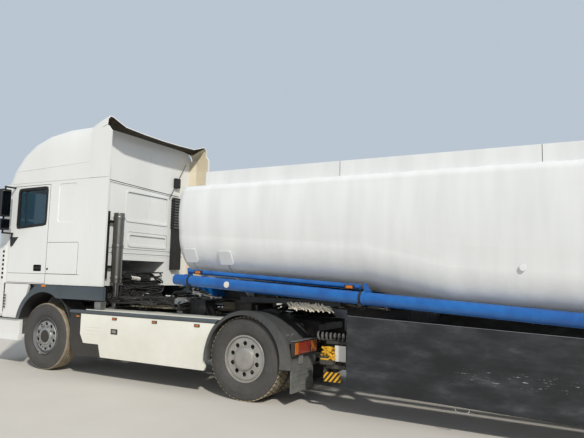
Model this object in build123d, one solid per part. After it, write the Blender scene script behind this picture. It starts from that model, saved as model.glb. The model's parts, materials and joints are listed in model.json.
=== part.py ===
"""An articulated tanker lorry: a two-axle cab-over tractor and its three-axle tank semi-trailer.

Millimetres. +X is forward, +Y is the lorry's left, +Z is up, and z = 0 is the ground.
Places along X are measured from the front axle. The finished pieces are moved along X so that
the origin lies on the ground in the middle of the whole lorry.
"""

import math
import os

from build123d import *

# Lengths along the lorry, from the front axle
front_overhang = 1380
wheelbase = 3800
king_pin_lead = 600  # king pin ahead of the drive axle
trailer_lead = 580  # front of the tank ahead of the king pin
trailer_length = 10900
overall_length = front_overhang + wheelbase - king_pin_lead - trailer_lead + trailer_length
drive_axle_x = -wheelbase
king_pin_x = drive_axle_x + king_pin_lead
trailer_front_x = king_pin_x + trailer_lead
trailer_rear_x = trailer_front_x - trailer_length
trailer_axle_spacing = 1310
trailer_axle_setback = 2720  # middle axle ahead of the trailer's rear end
rearmost_axle_x = trailer_rear_x + trailer_axle_setback - trailer_axle_spacing
trailer_axles_x = [rearmost_axle_x + step * trailer_axle_spacing for step in (2, 1, 0)]

# Widths
cab_half_width = 1245
trim_proud = 25  # wheel arches and mudguards stand proud of the cab's side
fender_half_width = cab_half_width + trim_proud
skirt_wall = 30
tank_half_width = 1270

# Clearances
seat_gap = 0.3  # between pieces that are fixed together
running_gap = 0.05  # round a spindle or a pin
door_gap = 8
plate_gap = 5  # between the coupling plates

# Wheels: y is measured outward from the wheel's middle plane
wheel_flats = 30
tyre_radius = 520
axle_z = tyre_radius
bead_radius = 285.3
bead_step = 38  # side wall's bulge past the bead
tyre_half_width = {"road": 150, "trailer": 185}
rim_radius = bead_radius - seat_gap
rim_wall = 14
rim_lip = 8
foot_flare = 20  # how much thicker a wheel's disc is where it meets the barrel
spindle_radius = 45
steer_wheel_y = cab_half_width - 210
twin_outer_y = cab_half_width - 160
twin_spread = 350
twin_inner_y = twin_outer_y - twin_spread
twin_middle_y = (twin_outer_y + twin_inner_y) / 2
trailer_wheel_y = tank_half_width - 250

# Steering
steer_pivot_y = steer_wheel_y - 105
steer_pin_radius = 22
beam_bottom_z = axle_z - 60
beam_top_z = axle_z + 60

# Frame of the tractor
rail_outer_y = 430
rail_width = 80
rail_wall = 8
rail_inner_y = rail_outer_y - rail_width
rail_bottom_z = 700
rail_top_z = 970
rail_front_x = 1150
rail_rear_x = drive_axle_x - 650

# Coupling
coupling_z = 1205
king_pin_radius = 25.4
king_pin_length = 90

# Cab
cab_floor_z = 1335
cab_waist_z = 2980
cab_rear_x = -870
cab_front_x = 1345
cab_wall = 50
screen_foot_z = 2000
screen_top_x = 1190
tilt_pivot_x = 1250
tilt_pivot_z = 900
tilt_pin_radius = 20
hinge_pin_radius = 4
hinge_x = 926  # door's hinge line, just inside its outer front corner
hinge_y = cab_half_width - 6
hinge_pin_length = 25

grille_foot_z = 830

# Skirts and bumper
skirt_top_z = 975
skirt_bottom_z = 320
bumper_bottom_z = 420
bumper_top_z = 760


def block(x, y, z):
    """A rectangular solid from three (low, high) pairs."""
    size = [high - low for low, high in (x, y, z)]
    middle = [(high + low) / 2 for low, high in (x, y, z)]
    return Pos(*middle) * Box(*size)


def side_plate(outline, y):
    """An outline of (x, z) points made into a plate between two y values."""
    face = make_face(Polyline(*[(px, y[0], pz) for px, pz in outline], close=True))
    return extrude(face, amount=y[1] - y[0], dir=(0, 1, 0))


def cross_plate(outline, x):
    """An outline of (y, z) points made into a plate between two x values."""
    face = make_face(Polyline(*[(x[0], py, pz) for py, pz in outline], close=True))
    return extrude(face, amount=x[1] - x[0], dir=(1, 0, 0))


def plan_plate(outline, z):
    """An outline of (x, y) points made into a plate between two z values."""
    face = make_face(Polyline(*[(px, py, z[0]) for px, py in outline], close=True))
    return extrude(face, amount=z[1] - z[0], dir=(0, 0, 1))


def rod(start, end, radius):
    """A round bar from one point to another."""
    run = Vector(*end) - Vector(*start)
    return extrude(Plane(origin=start, z_dir=run) * Circle(radius), amount=run.length)


def across(x, z, radius, y):
    """A round bar along Y."""
    return rod((x, y[0], z), (x, y[1], z), radius)


def mirrored(solid):
    """The same piece on the other side of the lorry."""
    return mirror(solid, about=Plane.XZ)


def group(*solids):
    """Solids that share a node."""
    return Compound(children=[one for solid in solids for one in solid.solids()])


def both_sides(solid):
    """A piece and its mirror image, as separate solids of one node."""
    return group(solid, mirrored(solid))


def spun(outline):
    """A wheel part turned about the Y axis from an outline of (radius, y) points."""
    return revolve(make_face(Polyline(*outline, close=True)), Axis.Y)


def flat_sided(sections):
    """A solid about the Y axis with flats round it, from (y, flat-to-centre radius) sections."""
    faces = []
    for y, radius in sections:
        plane = Plane(origin=(0, y, 0), x_dir=(1, 0, 0), z_dir=(0, 1, 0))
        faces.append(plane * RegularPolygon(radius, wheel_flats, major_radius=False))
    return loft(faces, ruled=True)


# Wheels


def tyre(kind):
    """A road tyre with plain tread: bead, side walls and shoulders, thirty flats round."""
    half_width = tyre_half_width[kind]
    half = [
        (half_width - bead_step, bead_radius),
        (half_width, 400),
        (half_width - 15, 500),
        (half_width - bead_step, tyre_radius),
    ]
    outside = flat_sided([(-y, radius) for y, radius in half] + half[::-1])
    return outside - flat_sided([(-half_width, bead_radius), (half_width, bead_radius)])


def vent_holes(disc_y, count=10):
    """Cutters for the round holes through a wheel's disc."""
    cutters = []
    for step in range(count):
        angle = 2 * math.pi * (step + 0.5) / count
        x, z = 190 * math.cos(angle), 190 * math.sin(angle)
        cutters.append(across(x, z, 28, (disc_y - 40, disc_y + 40)))
    return cutters


def barrel_outline(half_width, disc_y, disc_wall, disc_foot):
    """The outer part of a disc wheel's outline, from the back of the disc round to its front.

    The disc is flat inside its foot, which stands on the barrel disc_foot further out than the disc.
    """
    inside = rim_radius - rim_wall
    lip = rim_radius + rim_lip
    edge = half_width - bead_step + rim_lip
    return [
        (225, disc_y - disc_wall),
        (inside, disc_y - disc_wall + disc_foot - foot_flare),
        (inside, -edge - rim_lip),
        (lip, -edge - rim_lip),
        (lip, -edge + 3),
        (rim_radius, -edge + 3),
        (rim_radius, edge - 3),
        (lip, edge - 3),
        (lip, edge + rim_lip),
        (inside, edge + rim_lip),
        (inside, disc_y + disc_foot),
        (225, disc_y),
    ]


def single_rim(kind, disc_y, hub_back_y, hub_end_y, disc_foot, holes):
    """A single disc wheel fused with its hub, which has a blind bore for the spindle."""
    disc_wall = 14
    bore = spindle_radius + running_gap
    bore_end_y = hub_end_y - 45
    outline = [(0, bore_end_y), (bore, bore_end_y), (bore, hub_back_y), (95, hub_back_y)]
    outline += [(95, disc_y - disc_wall)]
    outline += barrel_outline(tyre_half_width[kind], disc_y, disc_wall, disc_foot)
    outline += [(138, disc_y), (128, disc_y + 14), (96, disc_y + 18), (88, hub_end_y - 8), (60, hub_end_y)]
    outline += [(0, hub_end_y)]
    solid = spun(outline)
    if holes:
        solid -= vent_holes(disc_y)
    return solid


def wheel_cover(plate_y, dome):
    """A pressed cover over the outer wheel of a twin: a flat ring with holes round a domed middle."""
    wall = 5
    outline = [(rim_radius - rim_wall + 1, plate_y - 12), (252, plate_y), (150, plate_y)]
    outline += [(140, plate_y + dome * 0.6), (112, plate_y + dome * 0.92), (70, plate_y + dome)]
    solid = spun([(0, plate_y + dome), *outline[::-1], *[(r - wall, y - wall) for r, y in outline],
                  (0, plate_y + dome - wall)])
    return solid - vent_holes(plate_y)


def twin_rim():
    """The two disc wheels of a twin on one hub, the outer with a cover, placed about the outer wheel."""
    disc_y, disc_wall, disc_foot = -95, 14, 30
    spread = twin_spread
    outer = single_rim("road", disc_y, disc_y - disc_wall - 40, 60, disc_foot, False)
    outer += wheel_cover(tyre_half_width["road"] - bead_step + 4, 42)
    inner_disc = barrel_outline(tyre_half_width["road"], disc_y, disc_wall, disc_foot)
    inner = spun([(95, disc_y - disc_wall)] + inner_disc + [(95, disc_y)])
    inner = Pos(0, -spread, 0) * mirrored(inner)
    bore = spindle_radius + running_gap
    hub = spun([(bore, -spread - 60), (95, -spread - 60), (95, disc_y - 1), (bore, disc_y - 1)])
    return outer + inner + hub


def wheels():
    """Every wheel's tyre and rim, by node name."""
    road_tyre, trailer_tyre = tyre("road"), tyre("trailer")
    trailer_rim = single_rim("trailer", 62, -60, 130, 26, False)
    left = {}
    steer = Pos(0, steer_wheel_y, axle_z)
    left["front"] = (steer * road_tyre, steer * single_rim("road", 106, -20, 142, -50, True))
    outer = Pos(drive_axle_x, twin_outer_y, axle_z)
    inner = Pos(drive_axle_x, twin_inner_y, axle_z)
    left["drive"] = (group(outer * road_tyre, inner * road_tyre), outer * twin_rim())
    for number, x in enumerate(trailer_axles_x, 1):
        here = Pos(x, trailer_wheel_y, axle_z)
        left[f"trailer_{number}"] = (here * trailer_tyre, here * trailer_rim)
    parts = {}
    for name, (rubber, steel) in left.items():
        parts[f"tyre_{name}_left"] = rubber
        parts[f"rim_{name}_left"] = steel
        parts[f"tyre_{name}_right"] = mirrored(rubber)
        parts[f"rim_{name}_right"] = mirrored(steel)
    return parts


# Axles and steering

fork_gap = 5
boss_radius = 50


def knuckle():
    """The left steering knuckle: a fork round the beam's eye, its pin, the brake and the spindle."""
    lug = 62
    low, high = beam_bottom_z - fork_gap, beam_top_z + fork_gap
    back_y = steer_pivot_y + boss_radius + fork_gap
    solid = block((-lug, lug), (steer_pivot_y - lug, back_y), (low - 45, low))
    solid += block((-lug, lug), (steer_pivot_y - lug, back_y), (high, high + 45))
    solid += block((-lug, lug), (back_y, back_y + 30), (low - 45, high + 45))
    solid += rod((0, steer_pivot_y, low - 45), (0, steer_pivot_y, high + 45), steer_pin_radius)
    solid += across(0, axle_z, 190, (back_y + 5, back_y + 28))
    solid += across(0, axle_z, spindle_radius, (back_y + 20, steer_wheel_y + 60))
    arm_y = (steer_pivot_y - 30, steer_pivot_y)
    solid += block((-210, -lug + 1), arm_y, (low - 45, low - 15))
    return solid


def front_axle():
    """The forged beam with an eye at each end, on a leaf spring under each rail."""
    beam = block((-45, 45), (-steer_pivot_y, steer_pivot_y), (beam_bottom_z, beam_top_z))
    spring_y = (rail_inner_y + 5, rail_outer_y - 5)
    half = [(0, beam_top_z), (850, rail_bottom_z - 60), (850, rail_bottom_z), (780, rail_bottom_z)]
    half += [(780, rail_bottom_z - 45), (60, beam_top_z + 75)]
    outline = half + [(-x, z) for x, z in reversed(half[1:])]
    for side in (1, -1):
        pivot_y = side * steer_pivot_y
        beam += rod((0, pivot_y, beam_bottom_z), (0, pivot_y, beam_top_z), boss_radius)
        pin = steer_pin_radius + running_gap
        beam -= rod((0, side * steer_pivot_y, beam_bottom_z), (0, side * steer_pivot_y, beam_top_z), pin)
    left_spring = side_plate(outline, spring_y)
    return beam + left_spring + mirrored(left_spring)


def drive_axle():
    """The driven axle's housing with its differential, air bellows and propeller shaft."""
    end_y = twin_outer_y - 20
    housing = across(drive_axle_x, axle_z, spindle_radius, (-end_y, end_y))
    housing += across(drive_axle_x, axle_z, 75, (-520, 520))
    housing += across(drive_axle_x, axle_z, 210, (-120, 120))
    nose_x = drive_axle_x + 380
    housing += rod((drive_axle_x, 0, axle_z), (nose_x, 0, axle_z + 20), 90)
    shaft_end = (gearbox_rear_x - 6, 0, axle_z + 240)
    housing += rod((nose_x, 0, axle_z + 20), shaft_end, 55)
    for side in (1, -1):
        y = (side * 390 - 40, side * 390 + 40)
        for x in (drive_axle_x - 400, drive_axle_x + 400):
            housing += rod((x, side * 390, axle_z + 20), (x, side * 390, rail_bottom_z), 110)
        housing += block((drive_axle_x - 480, drive_axle_x + 480), y, (axle_z - 60, axle_z + 20))
    return housing


# Tractor frame and what it carries

engine_x = (-450, 650)
gearbox_rear_x = -1250
engine_half_width = rail_inner_y - 10
mount_x = (250, 350)


def rail():
    """The left frame rail, a channel open to the inside, with the engine's mounting bracket."""
    web = rail_outer_y - rail_wall
    outline = [
        (rail_inner_y, rail_bottom_z),
        (rail_outer_y, rail_bottom_z),
        (rail_outer_y, rail_top_z),
        (rail_inner_y, rail_top_z),
        (rail_inner_y, rail_top_z - rail_wall),
        (web, rail_top_z - rail_wall),
        (web, rail_bottom_z + rail_wall),
        (rail_inner_y, rail_bottom_z + rail_wall),
    ]
    solid = cross_plate(outline, (rail_rear_x, rail_front_x))
    bracket_z = (rail_bottom_z + rail_wall, rail_top_z - rail_wall)
    for x in (mount_x, (gearbox_rear_x, gearbox_rear_x + 80)):
        inner = engine_half_width if x == mount_x else gearbox_half_width
        solid += block(x, (inner, web + 1), bracket_z)
    return solid


gearbox_half_width = 230
cab_support_x = (-830, -770)


def frame():
    """The ladder frame: two channels joined by cross members, with pads for the cab's hinges."""
    solid = rail() + mirrored(rail())
    cross_y = (-rail_outer_y + 1, rail_outer_y - 1)
    for x in (1100, -1500, -2500, drive_axle_x + 150, drive_axle_x - 600):
        solid += block((x - 30, x + 30), cross_y, (rail_top_z - 130, rail_top_z - 40))
    foot = [(rail_front_x - 150, rail_top_z), (rail_front_x - 150, 860)]
    foot += [(tilt_pivot_x, 860), (tilt_pivot_x, 940)]
    bracket = side_plate(foot, (rail_inner_y, rail_outer_y))
    bracket += across(tilt_pivot_x, tilt_pivot_z, 40, (rail_inner_y, rail_outer_y))
    bracket += across(tilt_pivot_x, tilt_pivot_z, tilt_pin_radius, (rail_inner_y, rail_outer_y + 50))
    bracket += block(cab_support_x, (rail_inner_y, rail_outer_y), (rail_top_z - 1, cab_floor_z - seat_gap))
    bracket += block(cab_support_x, (rail_inner_y, 600), (cab_floor_z - 60, cab_floor_z - seat_gap))
    return solid + bracket + mirrored(bracket)


def engine():
    """The engine and gearbox as one plain mass between the rails."""
    width = (-engine_half_width, engine_half_width)
    solid = block(engine_x, width, (620, 1480))
    gearbox = (-gearbox_half_width, gearbox_half_width)
    return solid + block((gearbox_rear_x, engine_x[0]), gearbox, (640, 1150))


tow_socket_y, tow_socket_z, tow_socket_radius = 600, 590, 30
bumper_wall = 45
headlamp_y = (700, 985)
headlamp_z = (590, 715)
headlamp_depth = 30
foot_gap = 15  # rubber strip between the bumper and what stands above it


def bumper_plan(inset, z):
    """The bumper's outline from above, rounded at the front corners, at one height."""
    rear_x = 545
    length = front_overhang - inset - rear_x
    plan = Rectangle(length, 2 * (cab_half_width - inset), align=(Align.MIN, Align.CENTER))
    return Pos(rear_x, 0, z) * fillet(plan.vertices().group_by(Axis.X)[-1], 240 - inset)


def bumper():
    """The bumper shell, drawn in towards its top, with the headlamps' recesses, on two arms."""
    waist_z = bumper_bottom_z + 130
    levels = [(0, bumper_bottom_z), (0, bumper_bottom_z + 25), (28, waist_z)]
    outer = loft([bumper_plan(*level) for level in levels],
                 ruled=True)
    outer += loft([bumper_plan(28, waist_z), bumper_plan(12, bumper_top_z)], ruled=True)
    inside = bumper_plan(28 + bumper_wall, bumper_bottom_z)
    solid = outer - extrude(inside, amount=bumper_top_z - bumper_bottom_z)
    for side in (1, -1):
        y = sorted(side * edge for edge in headlamp_y)
        solid -= block((front_overhang - headlamp_depth - 30, front_overhang), y, headlamp_z)
    inlet_z = (bumper_bottom_z + 60, bumper_top_z - 60)
    inlet = block((front_overhang - 130, front_overhang), (-330, 330), inlet_z)
    solid -= inlet
    arm_x = (rail_front_x, front_overhang - bumper_wall - 15)
    arm_z = (bumper_bottom_z + 90, rail_bottom_z - 20)
    arm = block(arm_x, (rail_inner_y, rail_outer_y), arm_z)
    foot_x = (rail_front_x - 120, rail_front_x + 10)
    arm += block(foot_x, (rail_inner_y, rail_outer_y), (arm_z[0] + 90, rail_bottom_z))
    solid += [arm, mirrored(arm)]
    socket = [(x, -tow_socket_y, tow_socket_z) for x in (front_overhang - 90, front_overhang)]
    solid -= rod(*socket, tow_socket_radius)
    return group(solid, step_panel(), mirrored(step_panel()))


arch_x, arch_z = -39, 642  # middle of the front wheel arch
arch_radius = 573
flare_width = 82
flare_y = (cab_half_width - 40, fender_half_width)
strip_bottom_z = 1130
strip_top_z = cab_floor_z - 10
arch_rear_x = cab_rear_x - 460
step_x = (604, 955)
step_inner_y = cab_half_width - 265


def arch_cutter(radius, y):
    """A round bar along the middle of the front wheel arch."""
    return across(arch_x, arch_z, radius, y)


def wheel_ring(x, inner, outer, y):
    """A flat ring about a wheel's axis."""
    return across(x, axle_z, outer, y) - across(x, axle_z, inner, y)


def front_arch():
    """The left front wheel arch: flare with its strip to the rear, inner liner and bracket."""
    foot_z = bumper_top_z + foot_gap
    flare = arch_cutter(arch_radius + flare_width, flare_y)
    flare = flare & block((arch_x, 700), flare_y, (foot_z, strip_top_z))
    strip = [(arch_rear_x, strip_bottom_z), (arch_rear_x, strip_top_z), (150, strip_top_z), (340, 1190)]
    flare += side_plate(strip + [(340, strip_bottom_z)], flare_y)
    flare -= arch_cutter(arch_radius, flare_y)
    liner_y = (850, flare_y[0])
    liner = arch_cutter(arch_radius + 10, liner_y) - arch_cutter(arch_radius, liner_y)
    liner = liner & block((-700, 700), liner_y, (foot_z, strip_top_z))
    top_z = arch_z + arch_radius
    arm = [(rail_inner_y, rail_top_z), (rail_outer_y, rail_top_z), (870, top_z + 2), (870, top_z + 7)]
    arm += [(rail_inner_y, rail_top_z + 40)]
    return flare + liner + cross_plate(arm, (arch_x - 20, arch_x + 20))


def step_panel():
    """The left step housing ahead of the front wheel, closed on its outside, on a bracket from the rail."""
    foot_z = bumper_top_z + foot_gap
    skin_y = (flare_y[0] + seat_gap, cab_half_width)
    outline = [(arch_x + 560, foot_z), (step_x[1] + 18, foot_z)]
    outline += [(step_x[1], strip_top_z), (arch_x + 400, strip_top_z)]
    skin = side_plate(outline, skin_y) - arch_cutter(arch_radius + flare_width + seat_gap, skin_y)
    skin -= side_plate([(340, 1190), (151, strip_top_z + 1), (340, strip_top_z + 1)], skin_y)
    housing = block(step_x, (step_inner_y, flare_y[0] + 1), (foot_z, strip_top_z))
    bracket = block((700, 760), (rail_outer_y, step_inner_y + 1), (800, 860))
    return skin + housing + bracket


skirt_y = (cab_half_width - skirt_wall, cab_half_width)
skirt_front_x = cab_rear_x + 220
skirt_cap = 50  # height of the rounded rail along the skirt's top
cover_inner_y, cover_rise = 800, 12  # the cover behind that rail, over the fuel tank
panel_front_x = cab_rear_x - 19
panel_step_x = (panel_front_x - 76, panel_front_x - 388, panel_front_x - 441)
panel_step_z = 500
fender_gap_radius = 600


def skirt():
    """The left skirt's painted panel, stepped at its front foot and cut round the drive wheel's fender."""
    top_z = skirt_top_z - skirt_cap - seat_gap
    rear_x = drive_axle_x + 340
    outline = [
        (panel_front_x, top_z),
        (rear_x, top_z),
        (rear_x + 260, skirt_bottom_z),
        (panel_step_x[2], skirt_bottom_z),
        (panel_step_x[1], panel_step_z),
        (panel_step_x[0], panel_step_z),
        (panel_front_x, panel_step_z + 130),
    ]
    panel = side_plate(outline, skirt_y)
    for x in (arch_rear_x - 70, (arch_rear_x + rear_x) / 2, rear_x + 460):
        panel += block((x - 20, x + 20), (rail_outer_y, skirt_y[0] + 1), (top_z - 22, top_z - 2))
    return panel - across(drive_axle_x, axle_z, fender_gap_radius, (400, 1400))


def skirt_trim():
    """The left skirt's rounded top rail and ribbed cover, and the moulding ahead of and below the panel."""
    cap_y = (cab_half_width - 90, cab_half_width + 10)
    rear_x = drive_axle_x + 340
    cap = block((rear_x, skirt_front_x), cap_y, (skirt_top_z - skirt_cap, skirt_top_z))
    outer_edges = cap.edges().filter_by(Axis.X).sort_by(Axis.Y)[-2:]
    cap = fillet(outer_edges, 20)
    cover_x, cover_y = (rear_x, skirt_front_x - 240), (cover_inner_y, cap_y[0] + 1)
    cap += block(cover_x, cover_y, (skirt_top_z - 20, skirt_top_z + cover_rise))
    for x in (cover_x[0] + 560, cover_x[0] + 1250, cover_x[0] + 1800):
        groove_z = (skirt_top_z - 4, skirt_top_z + cover_rise)
        cap -= block((x, x + 24), (cover_inner_y, cap_y[0] - 6), groove_z)
    cap -= across(drive_axle_x, axle_z, fender_gap_radius, (cover_inner_y, cap_y[1]))
    panel_edge = [
        (panel_front_x + seat_gap, skirt_top_z - skirt_cap),
        (panel_front_x + seat_gap, panel_step_z + 130),
        (panel_step_x[0] + seat_gap, panel_step_z - seat_gap),
        (panel_step_x[1] + seat_gap, panel_step_z - seat_gap),
        (panel_step_x[2] + seat_gap, skirt_bottom_z),
        (skirt_front_x - 120, skirt_bottom_z),
        (skirt_front_x, skirt_bottom_z + 180),
        (skirt_front_x, skirt_top_z - skirt_cap),
    ]
    moulding = side_plate(panel_edge, (skirt_y[0], skirt_y[1] - 8))
    stay = block((skirt_front_x - 60, skirt_front_x - 20), (rail_outer_y, skirt_y[0] + 1), (860, 900))
    return cap + moulding + stay


deck_x = (drive_axle_x + 1600, arch_rear_x - 20)
deck_half_width = 700
deck_plate = 20
deck_lift = 60  # height of the bearers between the rails and the catwalk
deck_limit_z = coupling_z - 15  # nothing on the deck is higher, so that the trailer can swing over it
coupler_base_x = (king_pin_x - 350, king_pin_x + 350)
reservoir_x, reservoir_radius = (drive_axle_x + 1360, drive_axle_x + 1580), 100
foot_wall = 40


def deck():
    """The catwalk and its rack, with the air reservoir, electrics box and battery box beside it."""
    low = rail_top_z + deck_lift
    top_z = low + deck_plate
    plate = block(deck_x, (-deck_half_width, deck_half_width), (low, top_z))
    for x in (deck_x[1] - 180, deck_x[1] - 420, deck_x[1] - 660):
        plate -= block((x, x + 40), (480, deck_half_width - 40), (low, top_z))
    for x in (deck_x[0] + 60, deck_x[1] - 60):
        plate += block((x - 30, x + 30), (-rail_outer_y, rail_outer_y), (rail_top_z, low + 1))
    rack_x, rack_y = (deck_x[0], deck_x[1] - 20), (deck_half_width - 45, deck_half_width - 15)
    plate += block(rack_x, rack_y, (deck_limit_z - 40, deck_limit_z - 5))
    for x in (rack_x[0] + 15, (rack_x[0] + rack_x[1]) / 2, rack_x[1] - 15):
        plate += block((x - 15, x + 15), rack_y, (top_z - 1, deck_limit_z - 39))
    electrics_x = (coupler_base_x[1] + 30, coupler_base_x[1] + 300)
    electrics = block(electrics_x, (500, 760), (rail_top_z, deck_limit_z))
    electrics = fillet(electrics.edges().filter_by(Axis.Z), 20)
    electrics += block(electrics_x, (rail_inner_y, 501), (rail_top_z, rail_top_z + foot_wall))
    vessel_z = rail_top_z + foot_wall + reservoir_radius - 5
    vessel = rod((reservoir_x[0], 640, vessel_z), (reservoir_x[1], 640, vessel_z), reservoir_radius)
    vessel = fillet(vessel.edges(), 35)
    foot_x = (reservoir_x[0] + 60, reservoir_x[0] + 160)
    vessel += block(foot_x, (rail_inner_y, 720), (rail_top_z, rail_top_z + foot_wall))
    battery_x = (electrics_x[0], reservoir_x[1])
    battery_y = (20 - cover_inner_y, -500)
    battery = block(battery_x, battery_y, (rail_top_z, deck_limit_z - 20))
    battery = fillet(battery.edges().filter_by(Axis.Z), 20)
    lid_x, lid_y = (battery_x[0] - 10, battery_x[1] + 10), (battery_y[0] - 10, battery_y[1] + 10)
    lid = block(lid_x, lid_y, (deck_limit_z - 40, deck_limit_z))
    battery += fillet(lid.edges().group_by(Axis.Z)[-1], 15)
    battery += block(battery_x, (-501, -rail_inner_y), (rail_top_z, rail_top_z + foot_wall))
    return group(plate, electrics, vessel, battery)


fuel_tank_x = (drive_axle_x + 900, arch_rear_x - 70)
fuel_tank_y = (rail_outer_y + 90, cab_half_width - 85)


def fuel_tank():
    """The left fuel tank, a rounded box held by two straps from the rail."""
    box = fillet(block(fuel_tank_x, fuel_tank_y, (400, 900)).edges().filter_by(Axis.X), 90)
    for x in (fuel_tank_x[0] + 200, fuel_tank_x[1] - 200):
        box += block((x - 30, x + 30), (rail_outer_y, fuel_tank_y[0] + 40), (rail_bottom_z, 900))
    return box


stack_x, stack_y, stack_radius = cab_rear_x - 150, 720, 84
stack_z = (1380, 2490)


def exhaust_stack():
    """The upright silencer behind the cab with its straps and tail pipe, on a post from the left rail."""
    here = (stack_x, stack_y)
    solid = rod((*here, stack_z[0]), (*here, stack_z[1]), stack_radius)
    for z in (stack_z[0] + 60, stack_z[0] + 560, stack_z[1] - 100):
        solid += rod((*here, z), (*here, z + 40), stack_radius + 8)
    solid += rod((*here, rail_top_z + 40), (*here, stack_z[0] + 1), 45)
    foot_y = (rail_inner_y, stack_y + 60)
    solid += block((stack_x - 60, stack_x + 60), foot_y, (rail_top_z, rail_top_z + 41))
    return solid


fender_x = drive_axle_x - 50
fender_z = axle_z - 40
fender_radius = 640
fender_opening = 540  # radius of the lip's inner edge, about the wheel


def rear_mudguard():
    """The left drive wheels' mudguard: a curved shell with a deep outer lip, its flap and bracket."""
    shell_y = (575, fender_half_width)
    lip_y = (fender_half_width - 30, fender_half_width)
    shell = across(fender_x, fender_z, fender_radius - 12, shell_y)
    shell -= across(fender_x, fender_z, fender_radius - 22, shell_y)
    lip = across(fender_x, fender_z, fender_radius, lip_y)
    shell += lip - across(drive_axle_x, axle_z, fender_opening, lip_y)
    keep = block((drive_axle_x - 720, drive_axle_x + 700), (500, 1300), (fender_z - 30, 1200))
    shell = shell & keep
    flap_x = fender_x - fender_radius + 22
    flap = block((flap_x - 8, flap_x + 12), (640, fender_half_width - 60), (170, fender_z + 60))
    bracket_y = (rail_outer_y - 30, 700)
    bracket = block((drive_axle_x - 25, drive_axle_x + 25), bracket_y, (1095, 1112))
    upright_y = (rail_outer_y - 30, rail_outer_y)
    bracket += block((drive_axle_x - 25, drive_axle_x + 25), upright_y, (rail_top_z, 1112))
    return shell + flap + bracket


def fifth_wheel():
    """The coupling plate on its pedestals, open to the rear, with the jaw's bore."""
    top, thick = coupling_z - plate_gap, 40
    plate = Pos(king_pin_x, 0, top - thick / 2) * Cylinder(460, thick)
    slot = [(king_pin_x - back, y) for back, y in ((500, -260), (500, 260), (90, 45), (90, -45))]
    plate -= plan_plate(slot, (top - thick, top))
    plate -= rod((king_pin_x, 0, top - thick), (king_pin_x, 0, top), king_pin_radius + 0.1)
    for side in (1, -1):
        y = (side * 300 - 60, side * 300 + 60)
        plate += block((king_pin_x - 140, king_pin_x + 140), y, (rail_top_z + 20, top - thick + 1))
    return plate + block(coupler_base_x, (-rail_outer_y, rail_outer_y), (rail_top_z, rail_top_z + 20))


def tractor_lamps():
    """Headlamps seated in the bumper's recesses and the tail lamps behind the mudguards."""
    solids = []
    for side in (1, -1):
        tail_y = sorted((side * 620, side * (fender_half_width - 40)))
        tail = block((rail_rear_x - 60, rail_rear_x - 20), tail_y, (610, 785))
        carrier_y = sorted((side * rail_outer_y, side * 640))
        tail += block((rail_rear_x - 25, rail_rear_x + 25), carrier_y, (752, 784))
        gap = seat_gap
        lens_y = sorted((side * (headlamp_y[0] + gap), side * (headlamp_y[1] - gap)))
        lens_x = (front_overhang - headlamp_depth - 30, front_overhang - 30)
        solids += [tail, block(lens_x, lens_y, (headlamp_z[0] + gap, headlamp_z[1] - gap))]
    return group(*solids)


# Cab


def cab_plan(inset, z):
    """The cab's outline from above, rounded at the front corners, made into a tall solid."""
    front, rear = cab_front_x - inset, cab_rear_x + inset
    outline = Rectangle(front - rear, 2 * (cab_half_width - inset), align=(Align.MIN, Align.CENTER))
    outline = fillet(outline.vertices().group_by(Axis.X)[-1], 260 - inset)
    return extrude(Pos(rear, 0, z[0]) * outline, amount=z[1] - z[0])


def cab_side(inset, z_top):
    """The lower cab's side outline with its raked screen, made into a wide solid."""
    front, rear = cab_front_x - inset, cab_rear_x + inset
    slope = (cab_front_x - screen_top_x) / (cab_waist_z - screen_foot_z)
    outline = [
        (rear, cab_floor_z + inset),
        (front, cab_floor_z + inset),
        (front, screen_foot_z),
        (front - slope * (z_top - screen_foot_z), z_top),
        (rear, z_top),
    ]
    return side_plate(outline, (-cab_half_width, cab_half_width))


tunnel_half_width = 560
tunnel_foot_half_width = 410
tunnel_top_z = 1753
tunnel_front_x = 1000
door_x = (-20, 940)
door_z = (1345, cab_waist_z - 40)
window = [(770, 2230), (40, 2280), (40, cab_waist_z - 80), (765, cab_waist_z - 90)]
screen_z = (screen_foot_z + 60, cab_waist_z - 50)


recess_depth = 8
seam_width = 6


def recess(plane, width, height, corner, depth):
    """Cutter for a round-cornered panel pressed into a wall, its sides sloping in."""
    face = plane * RectangleRounded(width, height, corner)
    return extrude(face, amount=-depth, taper=30)


def seam(plane, width, height, corner):
    """Cutter for the narrow gap round a flap in a wall."""
    ring = RectangleRounded(width, height, corner)
    ring -= RectangleRounded(width - 2 * seam_width, height - 2 * seam_width, corner - seam_width)
    return extrude(plane * ring, amount=-recess_depth)


def side_wall(x, z):
    """The plane of the cab's left side, at one place."""
    return Plane(origin=(x, cab_half_width, z), x_dir=(-1, 0, 0), z_dir=(0, 1, 0))


def rear_wall(y, z):
    """The plane of the cab's rear wall, at one place."""
    return Plane(origin=(cab_rear_x, y, z), x_dir=(0, -1, 0), z_dir=(-1, 0, 0))


def cab_pressings():
    """Cutters for the locker flap, the pressed panels and the sill line of the cab's walls."""
    locker = seam(side_wall((door_x[0] + cab_rear_x) / 2 + 95, 1750), 772, 500, 24)
    side_panel = recess(side_wall(door_x[0] - 405, 2620), 410, 620, 60, recess_depth)
    recess_y = (cab_half_width - recess_depth, cab_half_width)
    sill = block((cab_rear_x + 90, door_x[0]), recess_y, (1497, 1503))
    cutters = [locker, side_panel, sill]
    cutters += [mirrored(cutter) for cutter in cutters]
    cutters.append(recess(rear_wall(-65, 2640), 1000, 500, 55, recess_depth))
    cutters.append(recess(rear_wall(-115, 2115), 960, 230, 40, recess_depth))
    for z in (1850, 1925):
        cutters.append(recess(rear_wall(-80, z), 1900, 34, 15, recess_depth))
    return cutters


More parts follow.
